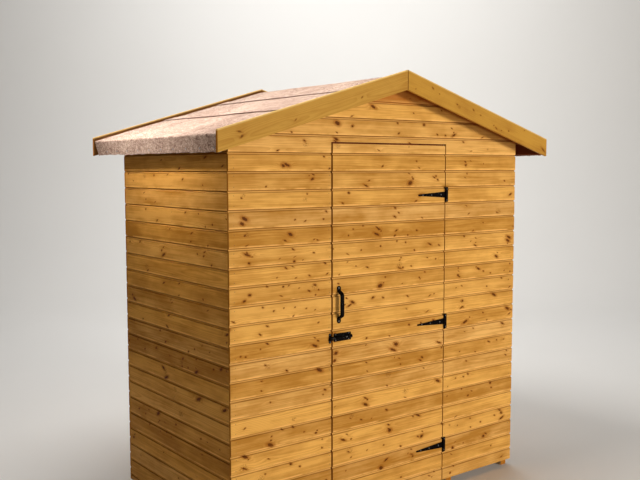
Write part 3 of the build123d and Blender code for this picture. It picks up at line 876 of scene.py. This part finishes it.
def solid_labels(count, edges):
    """Number of the solid that each point belongs to: the lowest index that edges link it with."""
    label = np.arange(count)
    while True:
        lowest = label[edges].min(axis=1)
        new = label.copy()
        np.minimum.at(new, edges[:, 0], lowest)
        np.minimum.at(new, edges[:, 1], lowest)
        new = new[new]
        if np.array_equal(new, label):
            return label
        label = new


def read_rows(elements, field, width, kind=float):
    """One field of all of a mesh's elements, as rows of an array."""
    values = np.empty(len(elements) * width, kind)
    elements.foreach_get(field, values)
    return values.reshape(-1, width)


def timber_marks(mesh, seed):
    """Writes grain, board and end for each solid of a mesh: its grain runs along its longest edge, and the
    widest way across that edge counts as the board's height."""
    points = read_rows(mesh.vertices, "co", 3)
    edges = read_rows(mesh.edges, "vertices", 2, int)
    normals = read_rows(mesh.polygons, "normal", 3)
    first_point = np.array([polygon.vertices[0] for polygon in mesh.polygons])
    label = solid_labels(len(points), edges)
    draw = np.random.default_rng(seed)
    grain, board, end = np.zeros_like(points), np.zeros_like(points), np.zeros(len(normals))
    for solid in np.unique(label):
        own = label == solid
        spans = (points[edges[:, 1]] - points[edges[:, 0]])[label[edges[:, 0]] == solid]
        lengths = np.linalg.norm(spans, axis=1)
        along = spans[lengths.argmax()] / lengths.max()
        # Edges within 37 degrees of the grain don't count as across it
        side = lengths * (np.abs(spans @ along) < 0.8 * lengths)
        wide = spans[side.argmax()]
        wide = wide - (wide @ along) * along
        wide /= np.linalg.norm(wide)
        axes = np.stack([along, np.cross(along, wide), wide])
        local = (points[own] - points[own].mean(axis=0)) @ axes.T
        across = local[:, 2] - local[:, 2].min()
        tone, chance, far, pith_out, pith_up = draw_marks(1, draw.integers(1 << 30))[0]
        grain[own] = local + [far + 40 * draw.random(), pith_out, pith_up]
        board[own] = np.stack([np.full(own.sum(), tone), across, np.full(own.sum(), chance)], axis=1)
        # Faces within 44 degrees of square to the grain are sawn ends
        faces = label[first_point] == solid
        end[faces] = np.abs(normals[faces] @ along) > 0.72
    write_attributes(mesh, "POINT", {"grain": grain, "board": board})
    write_attributes(mesh, "FACE", {"end": end})


# For each wood: the slot, how far its edges are eased, and the nodes
TIMBERS = {
    "frame": ("frame_wood", 0.0016, (
        "side_wall_studs", "side_wall_rails", "front_wall_studs", "front_wall_rails", "back_wall_studs",
        "back_wall_rails", "gable_rails", "king_posts", "ridge_beam", "purlins", "door_ledges", "door_braces",
    )),
    # Dark stained timber, partly painted shade, under the eaves and round the doorway
    "stained": ("frame_wood", 0.0016, ("eave_boards", "rake_battens", "door_stops")),
    "barge": ("barge_wood", 0.0013, tuple(
        f"{end}_{side}_barge_board" for end in ("front", "rear") for side in ("left", "right")
    )),
    "plain": ("plain_wood", 0.0018, ("floor_bearers",)),
}


class SHED_OT_timbers(bpy.types.Operator):
    """Frame timbers, barge boards and bearers, with eased edges and their own grain"""

    bl_idname = "shed.timbers"
    bl_label = "Timbers"

    def execute(self, context):
        for which, (slot, width, nodes) in TIMBERS.items():
            for i, node in enumerate(nodes):
                piece = welded_copy(node, node + "_timber")
                timber_marks(piece.data, 100 + 10 * len(nodes) + i)
                body = frame["nodes"][node]["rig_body"]
                tie_piece(piece, wood_of(context, which), body, (node,))
                ease(piece, width)
        return {"FINISHED"}


# Node, slot and how far the black has worn
IRON = (
    ("hinge_plates", "black_metal", 0.04), ("hinge_straps", "black_metal", 0.04),
    ("door_handle", "black_metal", 0.05), ("bolt_plate", "black_metal", 0.06),
    ("bolt_keep", "black_metal", 0.06), ("hinge_pins", "bolt_metal", 0.12), ("door_bolt", "bolt_metal", 0.14),
)


class SHED_OT_ironwork(bpy.types.Operator):
    """Hinges, handle, bolt and keep, with eased edges in satin black"""

    bl_idname = "shed.ironwork"
    bl_label = "Ironwork"

    def execute(self, context):
        iron = context.scene.shed_iron
        for node, slot, wear in IRON:
            piece = welded_copy(node, node + "_iron")
            finish = finish_named("black_" + node, black_iron, iron, wear)
            tie_piece(piece, finish, frame["nodes"][node]["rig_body"], (node,), 38)
            ease(piece, iron.easing)
        return {"FINISHED"}


# Heads of nails and screws


def round_heads(places, outward, upright, heights, radii, foot, angles, spin=None):
    """Heads on a polar grid: centre + r (cos a right + sin a up) + h(r, a) outward, with a flat underside.
    Heights hold h for the centre and each ring and angle, radii the rings."""
    places, outward, upright = (np.asarray(v, float).reshape(-1, 3) for v in (places, outward, upright))
    outward, upright = (np.broadcast_to(v, places.shape) for v in (outward, upright))
    right = np.cross(upright, outward)
    turn = np.arange(angles) * 2 * pi / angles
    spin = np.zeros(len(places)) if spin is None else spin
    a = turn + spin[:, None, None]
    r = np.append(radii, radii[-1])[:, None]
    h = np.concatenate([heights[1:], np.full((1, angles), -foot)])
    rings = places[:, None, None, :] + h[None, :, :, None] * outward[:, None, None, :]
    rings = rings + (r * np.cos(a))[..., None] * right[:, None, None, :]
    rings = rings + (r * np.sin(a))[..., None] * upright[:, None, None, :]
    centre = places + heights[0, 0] * outward
    points = np.concatenate([centre[:, None, :], rings.reshape(len(places), -1, 3)], axis=1)
    i = np.arange(angles)
    j = np.roll(i, -1)
    fan = np.stack([np.zeros(angles, int), 1 + i, 1 + j], axis=1)
    level = 1 + np.arange(len(radii))[:, None] * angles
    quads = np.stack([level + i, level + angles + i, level + angles + j, level + j], axis=-1).reshape(-1, 4)
    under = (1 + len(radii) * angles + i)[::-1]
    size = points.shape[1]
    faces = []
    for base in range(0, len(places) * size, size):
        faces += (fan + base).tolist() + (quads + base).tolist() + [(under + base).tolist()]
    return points.reshape(-1, 3), faces


def dome(radius, height, rings, angles):
    """Radii and heights of a plain head: h = height sqrt(1 - (r / 1.04 radius)^2)."""
    radii = radius * np.arange(1, rings + 1) / rings
    profile = height * np.sqrt(1 - (np.concatenate([[0], radii]) / (1.04 * radius)) ** 2)
    return radii, np.repeat(profile[:, None], angles, axis=1)


def crossed(radius, height, angles):
    """Radii and heights of a screw head: a low dome less a cross-shaped hollow within half its radius."""
    radii = radius * np.array([0.16, 0.30, 0.44, 0.56, 0.72, 0.88, 1.0])
    full = np.concatenate([[0.0], radii])[:, None]
    turn = (np.arange(angles) * 2 * pi / angles)[None, :]
    arm = np.minimum(np.abs(full * np.sin(2 * turn)), radius) / 2
    hollow = np.clip((0.16 * radius - arm) / (0.05 * radius), 0, 1)
    hollow = hollow * np.clip((0.62 * radius - full) / (0.10 * radius), 0, 1)
    return radii, height * np.sqrt(1 - (full / (1.08 * radius)) ** 2) - 0.9 * height * hollow


class SHED_OT_screws(bpy.types.Operator):
    """Screws of the hinges, handle, bolt and keep"""

    bl_idname = "shed.screws"
    bl_label = "Screws"

    def execute(self, context):
        iron = context.scene.shed_iron
        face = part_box("door_boards")[0][1]
        nodes = "hinge_straps", "hinge_plates", "door_handle", "bolt_plate", "bolt_keep"
        strap, plate, handle, bolt, keep = (np.array(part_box(node)) for node in nodes)
        # Places as x, y, z and the head's radius. The metal's faces stand this far in front of the boards
        strap_proud, handle_proud, plate_proud = 0.0025, 0.003, 0.002
        strap_height = 0.0312
        spread = 0.5 * (strap[1, 2] - strap[0, 2] - strap_height)
        middles = [plate[:, 2].mean() + step * spread for step in (-1, 0, 1)]
        handle_x, _, handle_z = handle.mean(axis=0)
        bolt_z = bolt[:, 2].mean()
        on_door = [(x, face - strap_proud, z, 0.0037) for z in middles for x in (0.214, 0.274, 0.342)]
        on_door += [(handle_x, face - handle_proud, handle_z + s * 0.0785, 0.0042) for s in (-1, 1)]
        ends = bolt[0, 0] + 0.013, bolt[1, 0] - 0.013
        on_door += [(x, face - plate_proud, bolt_z + s * 0.0138, 0.0032) for x in ends for s in (-1, 1)]
        plate_x = plate[1, 0] - 0.0075
        on_shed = [(plate_x, face - strap_proud, z + s * 0.0285, 0.0034) for z in middles for s in (-1, 1)]
        on_shed += [(keep[:, 0].mean(), face - plate_proud, bolt_z + s * 0.0164, 0.0032) for s in (-1, 1)]
        material = finish_named("screw_metal", zinc, iron.screw, 0.22)
        outward, upright = (0, -1, 0), (0, 0, 1)
        for seed, body, word, screws in ((1, "door", "door", on_door), (2, "shed", "frame", on_shed)):
            spin = np.random.default_rng(seed).random(len(screws)) * pi
            places, sizes = np.array(screws)[:, :3], np.array(screws)[:, 3]
            points, faces = [], []
            for radius in np.unique(sizes):
                own = sizes == radius
                radii, heights = crossed(radius, 0.0011, 32)
                more, new = round_heads(places[own], outward, upright, heights, radii, 0.0005, 32, spin[own])
                faces += [[i + len(points) for i in f] for f in new]
                points += more.tolist()
            put_piece(word + "_screws", points, faces, material, body, crease=30)
        return {"FINISHED"}


class SHED_OT_board_nails(bpy.types.Operator):
    """Small nails that hold the boards to the studs, jambs and ledges"""

    bl_idname = "shed.board_nails"
    bl_label = "Board nails"

    def execute(self, context):
        sizes = context.scene.shed_boards
        rng = np.random.default_rng(sizes.seed + 70)
        front_rows = wall_rows(sizes.front_first, sizes.front_cover, 1.70)[1:]
        side_rows = wall_rows(sizes.side_first, sizes.side_cover, 1.80)[1:]
        front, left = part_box("front_wall_left")[0][1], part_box("left_wall")[0][0]
        back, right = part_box("back_wall")[1][1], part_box("right_wall")[1][0]
        sunk, side_studs = 0.0002, (-0.483, 0.0, 0.483)
        material = finish_named("nail_metal", zinc, (0.16, 0.12, 0.09), 0.5)
        radii, heights = dome(0.0016, 0.0004, 1, 8)
        # Two nails a board at each stud, low and high on the board. The axis is the one that the wall faces
        for name, columns, rows, cover, axis, way, face in (
            ("front_nails", (-0.8895, -0.3795, 0.388, 0.8895), front_rows, sizes.front_cover, 1, -1, front),
            ("side_nails_left", side_studs, side_rows, sizes.side_cover, 0, -1, left),
            ("side_nails_right", side_studs, side_rows, sizes.side_cover, 0, 1, right),
            ("back_nails", (-0.8895, -0.2843, 0.2843, 0.8895), front_rows, sizes.front_cover, 1, 1, back),
        ):
            z = (rows[:, None] + cover * np.array([0.20, 0.74])).ravel()
            grid = np.stack(np.meshgrid(columns, z, indexing="ij"), axis=-1).reshape(-1, 2)
            grid = grid + 0.004 * (rng.random(grid.shape) - 0.5)
            places = np.insert(grid, axis, face - way * sunk, axis=1)
            outward = np.insert([0, 0], axis, way)
            points, faces = round_heads(places, outward, (0, 0, 1), heights, radii, sunk, 8)
            put_piece(name, points, faces, material, "shed")
        return {"FINISHED"}


# Roofing felt


def waves(seed, count, longest, shortest):
    """A function of two lengths: the mean of sines of random direction, wavelength and phase, from 0 to 1."""
    draw = np.random.default_rng(seed)
    wavelength = np.exp(draw.uniform(np.log(shortest), np.log(longest), count))
    angle, phase = draw.uniform(0, 2 * pi, (2, count))
    kx, ky = 2 * pi * np.cos(angle) / wavelength, 2 * pi * np.sin(angle) / wavelength

    def value(x, y):
        """Their mean at points x, y, which may be numbers or arrays."""
        total = np.sin(np.multiply.outer(x, kx) + np.multiply.outer(y, ky) + phase)
        return 0.5 + 0.5 * np.clip(total.sum(axis=-1) / np.sqrt(count * 0.9), -1, 1)

    return value


def sheet_shell(centre, normal, thickness):
    """A closed sheet: two grids, centre + and - half the thickness along the normal, joined by a rim."""
    rows, columns = centre.shape[:2]
    outer, inner = centre + 0.5 * thickness * normal, centre - 0.5 * thickness * normal
    points = np.concatenate([outer.reshape(-1, 3), inner.reshape(-1, 3)])
    index = np.arange(rows * columns).reshape(rows, columns)
    a, b, c, d = index[:-1, :-1], index[1:, :-1], index[1:, 1:], index[:-1, 1:]
    top = np.stack([a, b, c, d], axis=-1).reshape(-1, 4)
    rim = np.concatenate([index[:, 0], index[-1, 1:], index[-2::-1, -1], index[0, -2:0:-1]])
    after = np.roll(rim, -1)
    offset = rows * columns
    under = top[:, ::-1] + offset
    edge = np.stack([rim, rim + offset, after + offset, after], axis=1)
    return points, np.concatenate([top, under, edge])


def felt_path(side, along, depth):
    """X and Z of points on one slope, from distances s down it and depths d below the barge boards' top edge:
    x = side (s cos pitch - d sin pitch), z = apex - s sin pitch - d cos pitch."""
    x = side * (along * cos(ROOF_PITCH) - depth * sin(ROOF_PITCH))
    z = APEX - along * sin(ROOF_PITCH) - depth * cos(ROOF_PITCH)
    return x, z


def bulge(felt):
    """The felt's swell as a function of the distance down a slope and of Y, the same for every course."""
    swell = waves(felt.seed, 9, 0.9, 0.22)
    ripple = waves(felt.seed + 1, 9, 0.20, 0.07)
    return lambda along, y: felt.swell * (0.72 * swell(along, y) + 0.28 * ripple(along, y))


class SHED_OT_felt(bpy.types.Operator):
    """Five courses of mineral felt, each lapped over the one below, the lowest folded down over the eaves"""

    bl_idname = "shed.felt"
    bl_label = "Roofing felt"

    def execute(self, context):
        felt = context.scene.shed_felt
        play = 0.0004
        low, high = node_box("ridge_felt")
        y = np.linspace(low[1] + play, high[1] - play, 164)
        mid = 0.5 * (FELT_TOP + DECK_TOP)
        material = mineral_felt(felt)
        lift = bulge(felt)

        def course(head, tail, lap_at, seed):
            """Distances and depths of one course from head to tail, and how far each row is bitumen. From
            lap_at on it steps up onto the next course. Its edge is cut unevenly and curls a little."""
            s = np.linspace(head, tail, 72)
            depth = mid - FELT_THICKNESS * np.clip((s - (lap_at - 0.014)) / 0.010, 0, 1)
            near = np.clip(1 - (tail - s) / 0.05, 0, 1)[:, None] ** 2
            along = s[:, None] + 0.0035 * near * (waves(seed, 8, 0.5, 0.05)(0, y) - 1.0)
            raised = lift(along, y) + 0.0016 * near * waves(seed + 1, 8, 0.6, 0.12)(0, y) + 0.5 * play
            return along, depth[:, None] - raised, np.clip(1 - (tail - s) / 0.004, 0, 1)

        def put(name, node, x, z, seam):
            """Turns a grid of X and Z over Y into the finished course, from how far each row is bitumen."""
            grid = np.stack([x, np.broadcast_to(y, x.shape), z], axis=-1)
            normal = np.cross(np.gradient(grid, axis=0), np.gradient(grid, axis=1))
            normal /= np.linalg.norm(normal, axis=-1, keepdims=True)
            if normal[len(normal) // 2, 0, 2] < 0:
                normal = -normal
            points, faces = sheet_shell(grid, normal, FELT_THICKNESS - play)
            first = points[faces[0]]
            if np.dot(np.cross(first[1] - first[0], first[3] - first[0]), normal[0, 0]) < 0:
                faces = faces[:, ::-1]
            seam = {"seam": np.tile(np.repeat(seam, len(y)), 2)}
            put_piece(name, points, faces.tolist(), material, "shed", (node,), 50, seam)

        for side, word, seed in ((-1, "left", 11), (1, "right", 21)):
            along, depth, seam = course(RIDGE_COURSE - LAP, MIDDLE_COURSE, MIDDLE_COURSE - LAP, seed)
            put(word + "_middle_course", word + "_felt_middle", *felt_path(side, along, depth), seam)

            # Lowest course: down the slope, round the fold and down the eaves
            fold, reach = 0.0052, FELT_EDGE - 0.5 * FELT_THICKNESS
            flat = np.linspace(MIDDLE_COURSE - LAP, reach - fold, 60)
            turn = np.linspace(0, pi / 2, 9)[1:]
            hang = np.linspace(mid + fold, FELT_UNDER, 22)[1:]
            along = np.concatenate([flat, reach - fold + fold * np.sin(turn), np.full(len(hang), reach)])
            depth = np.concatenate([np.full(len(flat), mid), mid + fold - fold * np.cos(turn), hang])
            outward = np.concatenate([np.zeros(len(flat)), np.sin(turn), np.ones(len(hang))])
            fallen = np.clip((depth - mid) / (FELT_UNDER - mid), 0, 1)
            seam = 0.5 * np.clip((fallen - 0.965) / 0.03, 0, 1)
            along, depth, outward, fallen = (v[:, None] for v in (along, depth, outward, fallen))
            # Wrinkles, deepest near the front and the eaves, and an uneven cut
            pucker = waves(seed + 5, 7, 0.34, 0.05)(0, y) ** 2
            drape = waves(seed + 6, 8, 0.45, 0.08)(2.0 * fallen, y)
            front = np.exp(-((y - low[1]) / 0.22) ** 2)
            wrinkle = felt.pucker * (0.15 + 0.85 * front) * pucker * (0.35 + 0.65 * fallen) * drape
            near_fold = np.exp(-((along - reach) / 0.10) ** 2)
            up = (lift(along, y) + 0.55 * near_fold * wrinkle) * (1 - outward)
            ragged = waves(seed + 7, 9, 0.30, 0.03)(0, y) - 0.5
            along = along + outward * np.minimum(wrinkle, 0.0040)
            depth = depth - up + 0.0042 * ragged * fallen ** 3
            put(word + "_eave_course", word + "_felt_eave", *felt_path(side, along, depth), seam)

        # Top course, over the ridge: both slopes in one grid, rounded over the apex
        (along, depth, seam), (far_along, far_depth, _) = (
            course(0.012, RIDGE_COURSE, RIDGE_COURSE - LAP, seed) for seed in (31, 41)
        )
        left_x, left_z = felt_path(-1, along, depth)
        right_x, right_z = felt_path(1, far_along, far_depth)
        t = np.linspace(0, 1, 7)[1:-1, None]
        crown = APEX - mid / cos(ROOF_PITCH)
        over_x = left_x[:1] * (1 - t) ** 2 + right_x[:1] * t ** 2
        over_z = left_z[:1] * (1 - t) ** 2 + 2 * t * (1 - t) * crown + right_z[:1] * t ** 2
        x = np.concatenate([left_x[::-1], over_x, right_x])
        z = np.concatenate([left_z[::-1], over_z, right_z])
        put("ridge_course", "ridge_felt", x, z, np.concatenate([seam[::-1], np.zeros(len(t)), seam]))
        return {"FINISHED"}


class SHED_OT_clout_nails(bpy.types.Operator):
    """Wide-headed nails along the felt's laps and eaves"""

    bl_idname = "shed.clout_nails"
    bl_label = "Clout nails"

    def execute(self, context):
        felt = context.scene.shed_felt
        (_, front, _), (_, back, _) = node_box("ridge_felt")
        lift = bulge(felt)
        rng = np.random.default_rng(felt.seed + 9)
        radii, heights = dome(0.0046, 0.0007, 2, 10)
        above_lap, above_eave, depth, sunk = 0.020, 0.018, FELT_TOP - FELT_THICKNESS, 0.0006
        places, normals = [], []
        for side in (-1, 1):
            up = [side * sin(ROOF_PITCH), 0, cos(ROOF_PITCH)]
            down = [side * cos(ROOF_PITCH), 0, -sin(ROOF_PITCH)]
            for lap in (RIDGE_COURSE, MIDDLE_COURSE):
                y = np.arange(front + 0.035, back - 0.02, felt.nail_spacing)
                y = y + 0.012 * (rng.random(len(y)) - 0.5)
                along = lap - above_lap + 0.006 * (rng.random(len(y)) - 0.5)
                x, z = felt_path(side, along, depth - lift(along, y) - sunk)
                places.append(np.stack([x, y, z], axis=1))
                normals += [up] * len(y)
            y = np.arange(front + 0.050, back - 0.02, 1.3 * felt.nail_spacing)
            x, z = felt_path(side, FELT_EDGE + 0.0004, FELT_UNDER - above_eave)
            places.append(np.stack([np.full(len(y), x), y, np.full(len(y), z)], axis=1))
            normals += [down] * len(y)
        points, faces = round_heads(np.concatenate(places), normals, (0, 1, 0), heights, radii, 0.0012, 10)
        material = finish_named("clout_zinc", zinc, felt.nail, 0.42)
        put_piece("clout_nails", points, faces, material, "shed")
        return {"FINISHED"}


class SHED_OT_stage(bpy.types.Operator):
    """Camera at the photograph's place, soft lights, and a pale floor that curves up behind the shed"""

    bl_idname = "shed.stage"
    bl_label = "Stage"

    def execute(self, context):
        stage, scene = context.scene.shed_stage, context.scene
        camera = bpy.data.objects.new("camera", bpy.data.cameras.new("camera"))
        camera.data.sensor_width, camera.data.lens, camera.data.clip_end = 36.0, stage.lens, 200
        camera.location = stage.place
        aim = Euler((pi / 2 - stage.fall, 0, -stage.yaw)).to_matrix() @ Matrix.Rotation(stage.roll, 3, "Z")
        camera.rotation_euler = aim.to_euler()
        scene.collection.objects.link(camera)
        scene.camera = camera

        # Level ways ahead of the camera and to its right, and up
        ahead = np.array([sin(stage.yaw), cos(stage.yaw), 0.0])
        aside = np.array([cos(stage.yaw), -sin(stage.yaw), 0.0])
        up = np.array([0.0, 0.0, 1.0])

        def area(name, place, target, width, height, power, colour, spread=pi):
            """A rectangular soft light that faces a point."""
            light = bpy.data.lights.new(name, "AREA")
            light.shape, light.size, light.size_y = "RECTANGLE", width, height
            light.energy, light.color, light.spread = power, colour, spread
            lamp = bpy.data.objects.new(name, light)
            lamp.location = place
            lamp.rotation_euler = (Vector(target) - Vector(place)).to_track_quat("-Z", "Y").to_euler()
            scene.collection.objects.link(lamp)

        narrow, eave = radians(44), (-1.03, 0.16, 1.86)
        area("key", (2.3, -8.0, 1.75), (0.0, -0.4, 1.2), 1.8, 1.0, stage.key, (1.0, 0.965, 0.90))
        area("bounce", (-0.9, -4.6, 0.6), (0.1, -0.5, 1.6), 2.4, 0.8, stage.bounce, (1.0, 0.88, 0.70))
        area("fill", (-2.2, -0.4, 2.2), (-0.95, -0.1, 1.5), 0.5, 0.5, stage.fill, (1.0, 0.94, 0.86))
        area("strip", (-1.95, 0.32, 2.55), eave, 0.9, 0.25, stage.strip, (1.0, 0.95, 0.90), narrow)
        area("top", (-0.75, 0.0, 3.9), (-0.55, 0.0, 1.9), 1.3, 1.3, stage.top, (1.0, 0.98, 0.95))
        area("wash", 3.6 * ahead + 6.0 * up, 8.0 * ahead + 1.6 * up, 5.0, 5.0, stage.wash, (1.0, 1.0, 1.0))
        scene.world = bpy.data.worlds.new("sky")
        scene.world.use_nodes = True
        background = scene.world.node_tree.nodes["Background"]
        background.inputs[0].default_value = (1.0, 0.86, 0.70, 1)
        background.inputs[1].default_value = stage.sky
        scene.view_settings.view_transform = "Standard"

        # The floor's profile, carried 45 m to each side: level, then up through a quarter circle to a wall
        start, floor_end, curve, height = -9.0, 5.0, 3.0, 9.0
        turn = np.linspace(0, pi / 2, 17)
        bend = np.stack([floor_end + curve * np.sin(turn), curve - curve * np.cos(turn)], axis=1)
        section = np.concatenate([[(start, 0.0)], bend, [(floor_end + curve, height)]])
        width = np.array([-45.0, 45.0])[None, :, None]
        grid = width * aside + section[:, None, :1] * ahead + section[:, None, 1:] * up
        index = np.arange(2 * len(section)).reshape(-1, 2)
        faces = np.stack([index[:-1, 0], index[:-1, 1], index[1:, 1], index[1:, 0]], axis=1)
        mesh = bpy.data.meshes.new("floor")
        mesh.from_pydata(grid.reshape(-1, 3).tolist(), [], faces.tolist())
        mesh.polygons.foreach_set("use_smooth", np.ones(len(mesh.polygons), bool))
        mesh.materials.append(pale_floor(stage))
        floor = bpy.data.objects.new("floor", mesh)
        scene.collection.objects.link(floor)
        return {"FINISHED"}


OPERATORS = (
    SHED_OT_stage, SHED_OT_front_boards, SHED_OT_door_boards, SHED_OT_side_boards, SHED_OT_back_boards,
    SHED_OT_roof_boards, SHED_OT_floor_boards, SHED_OT_timbers, SHED_OT_felt, SHED_OT_clout_nails,
    SHED_OT_board_nails, SHED_OT_ironwork, SHED_OT_screws,
)
GROUPS = (
    ("shed_boards", ShedBoardSizes), ("shed_wood", ShedWood), ("shed_felt", ShedFelt),
    ("shed_iron", ShedIron), ("shed_stage", ShedStage),
)


class SHED_PT_dressing(bpy.types.Panel):
    """Lists the sizes and colours, and the steps that make the shed's pieces"""

    bl_idname = "SHED_PT_dressing"
    bl_label = "Garden Shed"
    bl_space_type = "VIEW_3D"
    bl_region_type = "UI"
    bl_category = "Shed"

    def draw(self, context):
        for key, group in GROUPS:
            box = self.layout.box()
            box.label(text=group.__doc__)
            for field in group.__annotations__:
                box.prop(getattr(context.scene, key), field)
        for operator in OPERATORS:
            self.layout.operator(operator.bl_idname)


def register():
    for key, group in GROUPS:
        bpy.utils.register_class(group)
        setattr(bpy.types.Scene, key, PointerProperty(type=group))
    for cls in (*OPERATORS, SHED_PT_dressing):
        bpy.utils.register_class(cls)


def unregister():
    for cls in (SHED_PT_dressing, *reversed(OPERATORS)):
        bpy.utils.unregister_class(cls)
    for key, group in reversed(GROUPS):
        delattr(bpy.types.Scene, key)
        bpy.utils.unregister_class(group)


def main():
    """Registers the add-on and makes every piece in order."""
    register()
    for operator in OPERATORS:
        group, name = operator.bl_idname.split(".")
        getattr(getattr(bpy.ops, group), name)()


if __name__ == "__main__":
    main()
